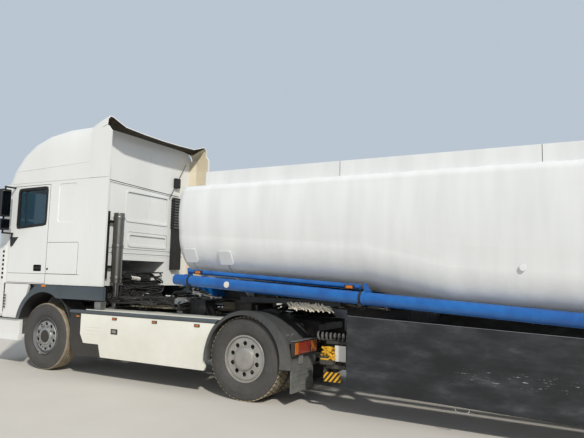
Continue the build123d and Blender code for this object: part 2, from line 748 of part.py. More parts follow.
def cab_shell():
    """The hollow lower cab: walls, pillars, floor and engine tunnel, with doors and screen cut out."""
    outer = cab_plan(0, (cab_floor_z, cab_waist_z)) & cab_side(0, cab_waist_z)
    above_z = cab_waist_z + 10
    inner = cab_plan(cab_wall, (cab_floor_z + cab_wall, above_z)) & cab_side(cab_wall, above_z)
    tunnel_outline = [
        (-tunnel_foot_half_width, cab_floor_z),
        (tunnel_foot_half_width, cab_floor_z),
        (tunnel_half_width, tunnel_top_z),
        (-tunnel_half_width, tunnel_top_z),
    ]
    casing_z = (cab_floor_z, tunnel_top_z + cab_wall)
    casing = block((cab_rear_x, tunnel_front_x + cab_wall), (-620, 620), casing_z)
    inner -= casing
    shell = outer - inner - cross_plate(tunnel_outline, (cab_rear_x, tunnel_front_x))
    opening = block(door_x, (cab_half_width - 70, cab_half_width), door_z)
    shell -= [opening, mirrored(opening)]
    shell -= block((cab_front_x - 300, cab_front_x + 100), (-1020, 1020), screen_z)
    shell -= cab_pressings()
    arm_y = (rail_outer_y + 10, rail_outer_y + 45)
    arm = block((tilt_pivot_x - 50, tilt_pivot_x + 50), arm_y, (tilt_pivot_z, cab_floor_z + 1))
    arm += across(tilt_pivot_x, tilt_pivot_z, 50, arm_y)
    arm -= across(tilt_pivot_x, tilt_pivot_z, tilt_pin_radius + running_gap, arm_y)
    fittings = arm
    length = hinge_pin_length
    for low, high in ((door_z[0] - 1, door_z[0] + length), (door_z[1] - length, door_z[1] + 1)):
        fittings += rod((hinge_x, hinge_y, low), (hinge_x, hinge_y, high), hinge_pin_radius)
    return shell + fittings + mirrored(fittings)


def door():
    """The left door, flush with the cab's side, with its window cut out."""
    outline = [
        (door_x[0] + door_gap, door_z[0] + door_gap),
        (door_x[1] - door_gap, door_z[0] + door_gap),
        (door_x[1] - door_gap, door_z[1] - door_gap),
        (door_x[0] + door_gap, door_z[1] - door_gap),
    ]
    solid = side_plate(outline, (cab_half_width - 60, cab_half_width))
    bore = hinge_pin_radius + running_gap
    depth = hinge_pin_length + 2
    pin_bore = rod((hinge_x, hinge_y, door_z[0]), (hinge_x, hinge_y, door_z[0] + depth), bore)
    pin_bore += rod((hinge_x, hinge_y, door_z[1] - depth), (hinge_x, hinge_y, door_z[1]), bore)
    solid -= [side_plate(window, (cab_half_width - 60, cab_half_width)), pin_bore]
    solid -= block((door_x[0], door_x[1]), (cab_half_width - recess_depth, cab_half_width), (1497, 1503))
    handle_x, handle_z = door_x[0] + 206, 1590
    solid -= extrude(side_wall(handle_x, handle_z) * RectangleRounded(190, 105, 20), amount=-26)
    bar = block((handle_x - 95, handle_x + 95), (cab_half_width - 12, cab_half_width - 2), (1575, 1603))
    return solid + bar


def door_glass():
    """The left side window's pane."""
    middle_x, middle_z = sum(door_x) / 2, (window[0][1] + window[-1][1]) / 2
    outline = []
    for x, z in window:
        inset_x = x - seat_gap if x > middle_x else x + seat_gap
        outline.append((inset_x, z - seat_gap if z > middle_z else z + seat_gap))
    return side_plate(outline, (cab_half_width - 34, cab_half_width - 26))


mirror_arm_x = 865
mirror_top_z = cab_waist_z - 50
mirror_foot_z = mirror_top_z - 790


def mirror_set():
    """The left mirrors: a tall main head over a wide-angle head, on arms from the door."""
    arm_x = (mirror_arm_x - 15, mirror_arm_x + 15)
    arm_y = (cab_half_width, cab_half_width + 195)
    head_y = (cab_half_width + 105, cab_half_width + 295)
    main = block((mirror_arm_x - 65, mirror_arm_x + 65), head_y, (mirror_top_z - 510, mirror_top_z - 60))
    main = fillet(main.edges().filter_by(Axis.Y, reverse=True), 28)
    wide = block((mirror_arm_x - 75, mirror_arm_x + 75), head_y, (mirror_top_z - 730, mirror_top_z - 550))
    wide = fillet(wide.edges().filter_by(Axis.Y, reverse=True), 28)
    post_y = cab_half_width + 185
    post_z = (mirror_foot_z + 10, mirror_top_z - 10)
    solid = main + wide + rod(*[(mirror_arm_x, post_y, z) for z in post_z], 15)
    solid += block(arm_x, arm_y, (mirror_top_z - 25, mirror_top_z))
    solid += block(arm_x, arm_y, (mirror_foot_z, mirror_foot_z + 25))
    low, high = mirror_foot_z - 200, mirror_foot_z - 50
    base = [(mirror_arm_x - 155, high), (mirror_arm_x + 35, high)]
    base += [(mirror_arm_x + 15, low), (mirror_arm_x - 15, low)]
    solid += side_plate(base, (cab_half_width, cab_half_width + 18))
    stay_y = (cab_half_width + 5, cab_half_width + 25)
    solid += block((mirror_arm_x - 12, mirror_arm_x + 12), stay_y, (high - 30, mirror_foot_z + 20))
    return solid


# Columns: height, front of the roof, half width, radius of the front corners
roof_sections = [
    (cab_waist_z, screen_top_x, cab_half_width, 260),
    (cab_waist_z + 230, 1115, cab_half_width - 3, 300),
    (cab_waist_z + 470, 950, cab_half_width - 12, 360),
    (cab_waist_z + 640, 760, cab_half_width - 30, 420),
    (cab_waist_z + 770, 520, cab_half_width - 75, 480),
    (cab_waist_z + 850, 230, cab_half_width - 150, 520),
    (cab_waist_z + 885, -30, cab_half_width - 270, 500),
]


def roof_body(inset, top_drop):
    """The roof's outer or inner form, lofted through its sections seen from above."""
    faces = []
    for z, front, half_width, corner in roof_sections:
        half = half_width - inset
        rear = cab_rear_x + inset
        plan = Rectangle(front - inset - rear, 2 * half, align=(Align.MIN, Align.CENTER))
        plan = fillet(plan.vertices().group_by(Axis.X)[-1], corner - inset)
        drop = top_drop * (z - cab_waist_z) / (roof_sections[-1][0] - cab_waist_z)
        faces.append(Pos(rear, 0, z - drop) * plan)
    return loft(faces, ruled=True)


def cab_roof():
    """The high roof: a hollow dome whose front falls away to the screen, stepped in over the waist."""
    gutter_z = (cab_waist_z, cab_waist_z + seam_width)
    gutter = cab_plan(-10, gutter_z) - cab_plan(8, gutter_z)
    crease_z = (cab_waist_z + 210, cab_waist_z + 260)
    crease = [(900, crease_z[0]), (cab_rear_x, crease_z[1]), (cab_rear_x, crease_z[1] - 8), (900, crease_z[0] - 8)]
    creases = side_plate(crease, (cab_half_width - recess_depth, cab_half_width))
    return roof_body(0, 0) - roof_body(cab_wall, cab_wall) - [gutter, creases, mirrored(creases)]


fairing_rear_x = cab_rear_x - 405
fairing_wall = 40
visor_rear_x = cab_rear_x - 330
visor_foot_z = cab_waist_z + 709
# Columns: distance in from the cab's side, height of the visor's upper face above its foot at the
# root, the middle and the rear edge
visor_profile = [
    (3, 1, 46, 101),
    (14, 71, 161, 216),
    (55, 129, 199, 256),
    (120, 151, 204, 256),
    (230, 166, 191, 216),
    (400, 173, 173, 161),
    (800, 173, 159, 143),
    (cab_half_width, 173, 156, 136),
]
visor_wall = 16


def visor_face(column, x):
    """One cross section of the visor, from its left edge to the middle."""
    upper = [(cab_half_width - row[0], visor_foot_z + row[column]) for row in visor_profile]
    lower = [(y - visor_wall if y > cab_half_width - 100 else y, z - visor_wall) for y, z in upper]
    lower[0] = (upper[0][0] - visor_wall, upper[0][1])
    lower[-1] = (0, lower[-1][1])
    plane = Plane(origin=(x, 0, 0), x_dir=(0, 1, 0), z_dir=(1, 0, 0))
    return plane * make_face(Polyline(*upper, *reversed(lower), close=True))


def air_deflectors():
    """The side fairings behind the cab and the dished visor over its rear edge."""
    fairing = [
        (cab_rear_x, cab_half_width),
        (cab_rear_x - 120, cab_half_width),
        (fairing_rear_x, cab_half_width - 12),
        (fairing_rear_x, cab_half_width - 12 - fairing_wall),
        (cab_rear_x - 120, cab_half_width - fairing_wall),
        (cab_rear_x, cab_half_width - 100),
    ]
    high = cab_waist_z + 1020  # above everything
    top = [(cab_rear_x, visor_foot_z), (visor_rear_x, visor_foot_z + 100)]
    beyond = [(visor_rear_x + 1, visor_foot_z + 100), (fairing_rear_x - 1, visor_foot_z + 11)]
    beyond += [(fairing_rear_x - 1, high), (visor_rear_x + 1, high)]
    solid = plan_plate(fairing, (cab_floor_z, high))
    solid -= side_plate(top + [(visor_rear_x, high), (cab_rear_x, high)], (0, cab_half_width + 1))
    solid -= side_plate(beyond, (0, cab_half_width + 1))
    gap = block((fairing_rear_x - 1, cab_rear_x), (cab_half_width - recess_depth - 12, cab_half_width + 1),
                (cab_waist_z, cab_waist_z + seam_width))
    solid -= gap
    faces = [visor_face(1, cab_rear_x), visor_face(2, (cab_rear_x + visor_rear_x) / 2)]
    visor = loft([*faces, visor_face(3, visor_rear_x)], ruled=True)
    half = solid + visor
    return half + mirrored(half)


def windscreen():
    """The windscreen's pane, leaning with the cab's front."""
    slope = (cab_front_x - screen_top_x) / (cab_waist_z - screen_foot_z)

    def x_at(z):
        return cab_front_x - slope * (z - screen_foot_z)

    low, high = screen_z[0] + seat_gap, screen_z[1] - seat_gap
    outline = [(x_at(z) - depth, z) for z, depth in ((low, 28), (low, 20), (high, 20), (high, 28))]
    return side_plate(outline, (seat_gap - 1020, 1020 - seat_gap))


grille_slots = 6
slot_height = 46
grille_rear_x = front_overhang - 395
grille_side = 18  # how far the panel's ends stand out from the cab's sides
side_louvre_x = (grille_rear_x + 25, grille_rear_x + 75)


def front_grille():
    """The panel below the screen: louvred in the middle and at its edges, round the cab's corners."""
    low, high = grille_foot_z, 1960
    half_width = cab_half_width + grille_side
    plan = Rectangle(front_overhang - grille_rear_x, 2 * half_width, align=(Align.MIN, Align.CENTER))
    plan = fillet(plan.vertices().group_by(Axis.X)[-1], 280)
    outer = extrude(Pos(grille_rear_x, 0, low) * plan, amount=high - low)
    solid = outer - cab_plan(-seat_gap, (low, high))
    pitch = (high - low - 360) / grille_slots
    for step in range(grille_slots):
        z = low + 180 + (step + 0.5) * pitch
        slot = block((front_overhang - 18, front_overhang), (-780, 780), (z - slot_height, z + slot_height))
        solid -= slot
    for step in range(7):
        z = 1400 + step * 72
        for side in (1, -1):
            y = sorted((side * (half_width - 12), side * half_width))
            solid -= block(side_louvre_x, y, (z, z + 40))
    return solid


def seats():
    """Two seats and the bunk across the rear wall."""
    floor = cab_floor_z + cab_wall
    solids = []
    for side in (1, -1):
        y = sorted((side * 640, side * 1120))
        seat = block((150, 640), y, (floor, 1900)) + block((100, 220), y, (1890, 2600))
        solids.append(seat)
    bunk = block((cab_rear_x + cab_wall, -150), (-1150, 1150), (1900, 2050))
    bunk += block((cab_rear_x + cab_wall, -150), (-600, 600), (tunnel_top_z + cab_wall, 1900))
    return group(*solids, bunk)


def dashboard():
    """The dashboard across the front with the steering wheel on its column."""
    solid = block((1100, cab_front_x - cab_wall), (-900, 900), (1600, 1990))
    column = rod((1120, 880, 1800), (830, 880, 2000), 30)
    rim_plane = Plane(origin=(830, 880, 2000), z_dir=(-290, 0, 200))
    ring = rim_plane * Torus(210, 16)
    spoke = extrude(rim_plane * Rectangle(420, 40), amount=8, both=True)
    return solid + column + ring + spoke


duct_ribs = 11


def intake_duct():
    """The ribbed air duct up the rear wall, on the right."""
    back = cab_rear_x
    duct = block((back - 84, back), (-915, -675), (2360, 2930))
    duct += block((back - 80, back), (-905, -685), (1620, 2361))
    pitch = 550 / duct_ribs
    for step in range(duct_ribs):
        z = 2370 + step * pitch
        duct += block((back - 100, back), (-925, -665), (z, z + pitch / 2))
    return duct


# Trailer

# Columns: x, height of the belly, radius of the belly's corners
tank_sections = [
    (trailer_front_x - 150, 1525, 550),
    (trailer_front_x - 2755, 1395, 550),
    (trailer_front_x - 3680, 1195, 550),
    (trailer_front_x - 5980, 1130, 500),
    (trailer_rear_x + 410, 1130, 500),
]
tank_top_z = 2760
shoulder_radius = 100
tank_bulge = 26  # how far the side swells past its lower and upper edges
subframe_rear_x = king_pin_x - 1400
coupler_half_width = 560
beam_y = (400, 480)
# Columns: distance from the tank's end, how much smaller the section is there
tank_dome = [(0, 150), (18, 84), (55, 34), (105, 8)]


def tank_face(x, belly_z, belly_radius, shrink=0):
    """One cross section of the tank: round belly corners, swelling sides and a flat top."""
    half = tank_half_width - shrink
    low, high = belly_z + shrink, tank_top_z - shrink
    r, s = belly_radius, shoulder_radius
    edge = half - tank_bulge
    k = 1 - math.sqrt(0.5)
    middle_z = (low + r + high - s) / 2
    left = [
        ThreePointArc((x, edge - r, low), (x, edge - r * k, low + r * k), (x, edge, low + r)),
        ThreePointArc((x, edge, low + r), (x, half, middle_z), (x, edge, high - s)),
        ThreePointArc((x, edge, high - s), (x, edge - s * k, high - s * k), (x, edge - s, high)),
    ]
    right = [
        ThreePointArc((x, -edge + s, high), (x, -edge + s * k, high - s * k), (x, -edge, high - s)),
        ThreePointArc((x, -edge, high - s), (x, -half, middle_z), (x, -edge, low + r)),
        ThreePointArc((x, -edge, low + r), (x, -edge + r * k, low + r * k), (x, -edge + r, low)),
    ]
    top = Line((x, edge - s, high), (x, -edge + s, high))
    belly = Line((x, -edge + r, low), (x, edge - r, low))
    return make_face([*left, top, *right, belly])


pad_size = 200
pad_x = (tank_sections[0][0] - pad_size / 2, trailer_front_x - 825)
pad_wall = 14
pad_angle = 28.5  # how far below level a pad faces
cradle_wall = 12
cradle_gap = 3


def belly_corner(x, angle):
    """A point on the tank's left belly corner and the outward direction there, by angle below level."""
    low, r = belly_at(x), tank_sections[0][2]
    y = tank_half_width - tank_bulge - r + r * math.cos(angle)
    return (x, y, low + r - r * math.sin(angle)), (0, math.cos(angle), -math.sin(angle))


def pad_plane(x):
    """The plane of a cradle pad, tangent to the left belly corner."""
    place, outward = belly_corner(x, math.radians(pad_angle))
    return Plane(origin=place, x_dir=(1, 0, 0), z_dir=outward)


def cradle_pad(x):
    """A square doubler plate on the tank's belly corner."""
    plate = extrude(pad_plane(x) * RectangleRounded(pad_size, pad_size, 18), amount=pad_wall)
    return plate + extrude(pad_plane(x) * Rectangle(pad_size - 20, pad_size - 20), amount=-12)


def cradle(x):
    """The left cradle plate: it hugs the belly's corner from a pad's lower edge to the subframe."""
    place, outward = belly_corner(x, math.radians(pad_angle) + pad_size / 2 / tank_sections[0][2])
    head = [place[axis] + outward[axis] * 26 for axis in (1, 2)]
    low, top = coupling_z + 14, head[1] + 20
    outline = [(beam_y[1] - 1, low), (coupler_half_width - 20, low)]
    outline += [head, (head[0] - 25, top), (beam_y[1] - 1, top)]
    plate_x = (x - cradle_wall / 2, x + cradle_wall / 2)
    above = tank_face(plate_x[0] - 1, belly_at(x) - cradle_gap, tank_sections[0][2], -cradle_gap)
    return cross_plate(outline, plate_x) - extrude(above, amount=cradle_wall + 2, dir=(1, 0, 0))


def tank():
    """The tank: lofted through its sections, domed at both ends, with hatches along the top."""
    front, rear = tank_sections[0], tank_sections[-1]
    rear_end_x = rear[0] - 150
    faces = [tank_face(trailer_front_x - back, front[1], front[2], shrink) for back, shrink in tank_dome]
    faces += [tank_face(*row) for row in tank_sections]
    for back, shrink in reversed(tank_dome):
        faces.append(tank_face(rear_end_x + back, rear[1], rear[2], shrink))
    solid = loft(faces, ruled=True)
    for step in range(5):
        hatch_x = trailer_front_x - 1300 - step * 2050
        solid += rod((hatch_x, 0, tank_top_z - 5), (hatch_x, 0, tank_top_z + 60), 300)
        solid += rod((hatch_x, 0, tank_top_z + 59), (hatch_x, 0, tank_top_z + 110), 250)
    for x in pad_x:
        solid += [cradle_pad(x), mirrored(cradle_pad(x))]
    return solid


def coaming():
    """The raised walls round the walkway on top of the tank."""
    length_x = (trailer_rear_x + 700, trailer_front_x - 420)
    wall, z = 25, (tank_top_z, tank_top_z + 185)
    half = tank_half_width - tank_bulge - shoulder_radius
    outer = block(length_x, (-half, half), z)
    return outer - block((length_x[0] + wall, length_x[1] - wall), (-half + wall, half - wall), z)


def belly_at(x):
    """Height of the tank's flat belly at a place along it."""
    for (x0, z0, _), (x1, z1, _) in zip(tank_sections, tank_sections[1:]):
        if x1 <= x <= x0:
            return z0 + (z1 - z0) * (x0 - x) / (x0 - x1)
    raise ValueError("outside the tank")


tray_x = (king_pin_x - 1850, king_pin_x - 450)
tray_y = (tank_half_width - 230, tank_half_width - 160)
tray_z = (coupling_z + 15, coupling_z + 80)
leg_x = king_pin_x - 2400
leg_y = 800
# Columns: half length, reach inwards and outwards from the leg's middle, height from and to
leg_parts = [(60, 60, 50, 450, 1000), (45, 45, 35, 330, 460), (120, 90, 70, 300, 331)]
rear_beam_bottom_z = 860
hanger_lead = 520
rear_beam_front_x = trailer_axles_x[0] + hanger_lead + 90
lamp_depth = 25


def trailer_frame():
    """King pin and coupler plate, landing gear on its saddle, rear subframe with the under-run bar."""
    front_x = tank_sections[0][0]
    half_width = coupler_half_width
    plate = block((subframe_rear_x, front_x), (-half_width, half_width), (coupling_z, coupling_z + 15))
    for x in pad_x:
        plate += [cradle(x), mirrored(cradle(x))]
    tray = block(tray_x, tray_y, tray_z)
    for x in (tray_x[1] - 150, subframe_rear_x + 80):
        tray += block((x - 15, x + 15), (beam_y[1] - 1, tray_y[0] + 1), (tray_z[0] + 15, tray_z[1] - 10))
    plate += [tray, mirrored(tray)]
    pin_z = (coupling_z - king_pin_length, coupling_z + 5)
    plate += rod(*[(king_pin_x, 0, z) for z in pin_z], king_pin_radius)
    top = [(subframe_rear_x, belly_at(subframe_rear_x)), (front_x, belly_at(front_x))]
    web = side_plate([(subframe_rear_x, coupling_z + 14), *top, (front_x, coupling_z + 14)], beam_y)
    plate += web + mirrored(web)
    saddle_x = (leg_x - 100, leg_x + 100)
    top = [(saddle_x[0], belly_at(saddle_x[0])), (saddle_x[1], belly_at(saddle_x[1]))]
    saddle = side_plate([(saddle_x[0], 980), *top, (saddle_x[1], 980)], (-600, 600))
    saddle += block(saddle_x, (-850, 850), (980, 1080))
    for side in (1, -1):
        for half, inward, outward, low, high in leg_parts:
            y = sorted((side * (leg_y - inward), side * (leg_y + outward)))
            saddle += block((leg_x - half, leg_x + half), y, (low, high))
    low, high = rear_beam_bottom_z, tank_sections[-1][1]
    end_x = trailer_rear_x + lamp_depth
    beam = block((end_x, rear_beam_front_x), beam_y, (low, high))
    beam += block((end_x, end_x + 80), beam_y, (430, low + 1))
    rear = beam + mirrored(beam)
    for x in (end_x + 40, *[x + hanger_lead for x in trailer_axles_x]):
        rear += block((x - 40, x + 40), (-beam_y[1], beam_y[1]), (low + 20, high - 40))
    bar_half = tank_half_width - 70
    rear += block((end_x, end_x + 60), (-bar_half, bar_half), (430, 560))
    return group(plate, saddle, rear)


def trailer_axle(x):
    """A trailer axle: a round beam on trailing arms, with an air bellows behind each hanger."""
    low = rear_beam_bottom_z
    hub_y, end_y = trailer_wheel_y - 220, trailer_wheel_y + 60
    solid = across(x, axle_z, 65, (-hub_y, hub_y)) + across(x, axle_z, spindle_radius, (-end_y, end_y))
    for side in (1, -1):
        y = sorted((side * beam_y[0], side * beam_y[1]))
        arm = [(x + 560, 600), (x + 480, 560), (x - 330, 480), (x - 330, 440), (x, 430), (x + 500, 480)]
        solid += side_plate(arm + [(x + 560, 500)], y)
        solid += block((x + hanger_lead - 40, x + hanger_lead + 40), y, (480, low))
        solid += rod((x - 250, side * 440, 470), (x - 250, side * 440, low), 110)
    return solid


tube_radius = 73
tube_y = tank_half_width - 70
tube_drop = 0.0548  # fall of the hose tubes per length, to the rear
tube_front = (trailer_front_x - 25, 1480)
panel_x = (trailer_axles_x[0] + tyre_radius + 120, king_pin_x - 2000)
tube_rear_x = panel_x[0] + 150
small_tube_radius = 30
small_tube_x = (trailer_front_x - 200, trailer_front_x - 2680)
small_tube_y = tube_y - 70
small_tube_lift = 122


def tube_height(x):
    """Height of the hose tube's middle at a place along it."""
    return tube_front[1] - tube_drop * (tube_front[0] - x)


def side_tube():
    """The left hose tube, sloping down to the rear, with its collars, hangers and the pipe above it."""
    start = (tube_front[0], tube_y, tube_front[1])
    solid = rod(start, (tube_rear_x, tube_y, tube_height(tube_rear_x)), tube_radius)
    ends = [(x, small_tube_y, tube_height(x) + small_tube_lift) for x in small_tube_x]
    solid += rod(*ends, small_tube_radius)
    for x in (small_tube_x[0] + 20, small_tube_x[1] - 60):
        z = tube_height(x)
        solid += rod((x, tube_y, z), (x - 40, tube_y, z - 40 * tube_drop), tube_radius + 8)
        top = z + small_tube_lift + 45
        gusset = [(x, z), (x - 120, z), (x - 20, top), (x + 20, top)]
        solid += side_plate(gusset, (small_tube_y - 6, small_tube_y + 6))
    for x in (pad_x[0] - 90, subframe_rear_x + 30):
        z = tube_height(x)
        hanger = [(beam_y[1], coupling_z + 30), (beam_y[1], coupling_z + 100), (tube_y - 40, z + 20)]
        hanger += [(tube_y - 10, z - 60), (beam_y[1] + 200, coupling_z + 30)]
        solid += cross_plate(hanger, (x, x + 20))
    return solid


def side_panel():
    """The left black panel between the landing gear and the wheels, with its hangers."""
    panel_y = (tank_half_width - 30, tank_half_width)
    outline = [(panel_x[1], 327), (panel_x[1], 1131), (panel_x[0], 1010), (panel_x[0], 210)]
    solid = side_plate(outline, panel_y)
    return solid + block((leg_x - 30, leg_x + 30), (leg_y + 50, panel_y[0] + 1), (985, 1045))


def trailer_mudguards():
    """The left mudguards over the three trailer wheels, each on a stay from the rear subframe."""
    solids = []
    for x in trailer_axles_x:
        shell_y = (trailer_wheel_y - 200, trailer_wheel_y + 205)
        shell = wheel_ring(x, 565, 573, shell_y) & block((x - 620, x + 620), shell_y, (780, 1200))
        shell += block((x - 20, x + 20), (beam_y[1], shell_y[0] + 1), (1085, 1093))
        solids.append(shell)
    return group(*solids)


def trailer_lamps():
    """The tail lamps at the ends of the under-run bar."""
    lamp_y = (tank_half_width - 450, tank_half_width - 110)
    lamp = block((trailer_rear_x, trailer_rear_x + lamp_depth), lamp_y, (440, 550))
    return both_sides(lamp)


def main():
    os.makedirs("parts", exist_ok=True)
    left_door, left_glass, left_mirrors = door(), door_glass(), mirror_set()
    left_knuckle = knuckle()
    parts = {
        "frame": frame(),
        "engine": engine(),
        "front_axle": front_axle(),
        "drive_axle": drive_axle(),
        "bumper": bumper(),
        "front_arches": both_sides(front_arch()),
        "side_skirts": both_sides(skirt()),
        "skirt_trim": both_sides(skirt_trim()),
        "deck": deck(),
        "fuel_tanks": both_sides(fuel_tank()),
        "exhaust_stack": exhaust_stack(),
        "rear_mudguards": both_sides(rear_mudguard()),
        "fifth_wheel": fifth_wheel(),
        "tractor_lamps": tractor_lamps(),
        "knuckle_left": left_knuckle,
        "knuckle_right": mirrored(left_knuckle),
        "cab_shell": cab_shell(),
        "cab_roof": cab_roof(),
        "air_deflectors": air_deflectors(),
        "windscreen": windscreen(),
        "front_grille": front_grille(),
        "seats": seats(),
        "dashboard": dashboard(),
        "intake_duct": intake_duct(),
        "door_left": left_door,
        "door_right": mirrored(left_door),
        "door_glass_left": left_glass,
        "door_glass_right": mirrored(left_glass),
        "mirrors_left": left_mirrors,
        "mirrors_right": mirrored(left_mirrors),
        "tank": tank(),
        "coaming": coaming(),
        "trailer_frame": trailer_frame(),
        "trailer_axles": group(*[trailer_axle(x) for x in trailer_axles_x]),
        "side_tubes": both_sides(side_tube()),
        "side_panels": both_sides(side_panel()),
        "trailer_mudguards": both_sides(trailer_mudguards()),
        "trailer_lamps": trailer_lamps(),
    }
    parts.update(wheels())
    to_middle = Pos(overall_length / 2 - front_overhang, 0, 0)
    for name, solid in parts.items():
        export_step(to_middle * solid, f"parts/{name}.step")


if __name__ == "__main__":
    main()
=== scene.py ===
import json
import math
import random

import bmesh
import bpy
from mathutils import Matrix, Vector

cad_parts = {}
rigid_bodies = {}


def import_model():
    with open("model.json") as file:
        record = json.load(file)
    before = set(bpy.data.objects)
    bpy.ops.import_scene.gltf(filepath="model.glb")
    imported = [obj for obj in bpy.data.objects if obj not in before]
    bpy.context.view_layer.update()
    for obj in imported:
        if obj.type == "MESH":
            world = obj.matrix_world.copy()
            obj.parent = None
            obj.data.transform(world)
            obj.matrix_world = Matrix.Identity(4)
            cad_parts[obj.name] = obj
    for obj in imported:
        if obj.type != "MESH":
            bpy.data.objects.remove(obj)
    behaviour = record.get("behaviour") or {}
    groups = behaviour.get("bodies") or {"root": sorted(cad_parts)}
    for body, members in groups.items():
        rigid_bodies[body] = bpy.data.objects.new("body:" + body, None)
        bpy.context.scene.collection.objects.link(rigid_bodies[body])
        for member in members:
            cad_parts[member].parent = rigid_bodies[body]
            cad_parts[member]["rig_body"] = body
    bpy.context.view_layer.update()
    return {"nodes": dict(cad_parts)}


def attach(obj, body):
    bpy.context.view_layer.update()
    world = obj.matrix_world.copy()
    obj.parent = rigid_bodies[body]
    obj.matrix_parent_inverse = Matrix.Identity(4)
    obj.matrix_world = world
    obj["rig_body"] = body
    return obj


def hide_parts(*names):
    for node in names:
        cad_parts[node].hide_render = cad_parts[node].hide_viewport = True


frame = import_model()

# Camera: stands on the ground to the left and behind the tractor, as a person would, and looks
# slightly up. Its place is measured from the front wheels' axle.
front_axle_x = 6.07

camera = bpy.data.cameras.new("camera")
camera.sensor_width = 36
camera.lens = 34.32
camera.clip_end = 400
camera_object = bpy.data.objects.new("camera", camera)
bpy.context.scene.collection.objects.link(camera_object)
yaw, pitch, roll = math.radians(-61.284), math.radians(5.766), math.radians(-1.379)
forward = Vector((math.cos(yaw) * math.cos(pitch), math.sin(yaw) * math.cos(pitch), math.sin(pitch)))
level = forward.cross(Vector((0, 0, 1))).normalized()
down = forward.cross(level)
right = math.cos(roll) * level + math.sin(roll) * down
below = math.cos(roll) * down - math.sin(roll) * level
turn = Matrix((right, -below, -forward)).transposed().to_4x4()
camera_object.matrix_world = Matrix.Translation((front_axle_x - 7.688, 7.155, 1.571)) @ turn
bpy.context.scene.camera = camera_object


# Light: a sun from the left rear, a little under half way up, and a pale sky, soft as in a studio.
# The lorry's left side and the tank are in the sun, and the visor shades the top of the cab's rear wall.
def add_node(tree, kind, links=None, **settings):
    """Adds a node; links maps its inputs to values or to other nodes' outputs."""
    node = tree.nodes.new(kind)
    for name, value in settings.items():
        setattr(node, name, value)
    for name, value in (links or {}).items():
        socket = node.inputs[name]
        if isinstance(value, bpy.types.NodeSocket):
            tree.links.new(value, socket)
        else:
            socket.default_value = value
    return node


def srgb(code):
    """A linear colour from an sRGB hex value."""
    parts = [int(code[i:i + 2], 16) / 255 for i in (1, 3, 5)]
    linear = [part / 12.92 if part <= 0.04045 else ((part + 0.055) / 1.055) ** 2.4 for part in parts]
    return (*linear, 1.0)


world = bpy.data.worlds.new("studio sky")
world.use_nodes = True
sky = world.node_tree
sky.nodes.clear()
is_seen = add_node(sky, "ShaderNodeLightPath")
seen_or_mirrored = add_node(sky, "ShaderNodeMath", {0: is_seen.outputs["Is Camera Ray"],
                                                   1: is_seen.outputs["Is Glossy Ray"]},
                                                   operation="MAXIMUM")
light_sky = add_node(sky, "ShaderNodeBackground", {"Color": srgb("#dfe6ef"), "Strength": 0.62})
pale_sky = add_node(sky, "ShaderNodeBackground", {"Color": srgb("#c3cfdc"), "Strength": 0.9})
sky_mix = add_node(sky, "ShaderNodeMixShader", {0: seen_or_mirrored.outputs[0], 1: light_sky.outputs[0],
                                               2: pale_sky.outputs[0]})
add_node(sky, "ShaderNodeOutputWorld", {"Surface": sky_mix.outputs[0]})
bpy.context.scene.world = world

sun = bpy.data.lights.new("sun", "SUN")
sun.energy = 3.0
sun.angle = math.radians(3)
sun.color = srgb("#fff9f0")[:3]
sun_object = bpy.data.objects.new("sun", sun)
sun_object.rotation_euler = Vector((0.45, -0.42, -0.47)).to_track_quat("-Z", "Y").to_euler()
bpy.context.scene.collection.objects.link(sun_object)
bpy.context.scene.view_settings.view_transform = "Standard"


# Floor: a plain pale ground far wider than the lorry, level under the wheels.
def new_piece(name, mesh_builder, material=None):
    """An object at the origin from a finished bmesh."""
    mesh = bpy.data.meshes.new(name)
    mesh_builder.to_mesh(mesh)
    mesh_builder.free()
    piece = bpy.data.objects.new(name, mesh)
    bpy.context.scene.collection.objects.link(piece)
    if material:
        mesh.materials.append(material)
    return piece



def material_tree(name):
    """A new node material with one Principled shader; returns the material, its tree and the shader."""
    material = bpy.data.materials.new(name)
    material.use_nodes = True
    tree = material.node_tree
    return material, tree, tree.nodes["Principled BSDF"]


floor_material, tree, shader = material_tree("pale studio floor")
place = add_node(tree, "ShaderNodeTexCoord")
mottle = add_node(tree, "ShaderNodeTexNoise", {"Vector": place.outputs["Object"], "Scale": 1.3,
                                               "Detail": 6.0})
tone = add_node(tree, "ShaderNodeValToRGB", {"Fac": mottle.outputs["Fac"]})
tone.color_ramp.elements[0].color = srgb("#c4c0b8")
tone.color_ramp.elements[1].color = srgb("#cfccc5")
tree.links.new(tone.outputs[0], shader.inputs["Base Color"])
shader.inputs["Roughness"].default_value = 0.9
ground = bmesh.new()
bmesh.ops.create_grid(ground, x_segments=4, y_segments=4, size=150)
floor = new_piece("floor", ground, floor_material)


# Chassis: black-painted steel ladder frame, axles and engine, greyed by dust. Welded and cast parts
# keep their shapes, and their paint is dull and patchy.
def at(x, y, z):
    """A place given from the front wheels' axle."""
    return Vector((front_axle_x + x, y, z))


def ramp(tree, factor, stops):
    """Colours by a factor: stops are (place, sRGB hex) pairs."""
    node = add_node(tree, "ShaderNodeValToRGB", {"Fac": factor})
    while len(node.color_ramp.elements) < len(stops):
        node.color_ramp.elements.new(0.5)
    for element, (position, code) in zip(node.color_ramp.elements, stops):
        element.position = position
        element.color = srgb(code)
    return node.outputs["Color"]


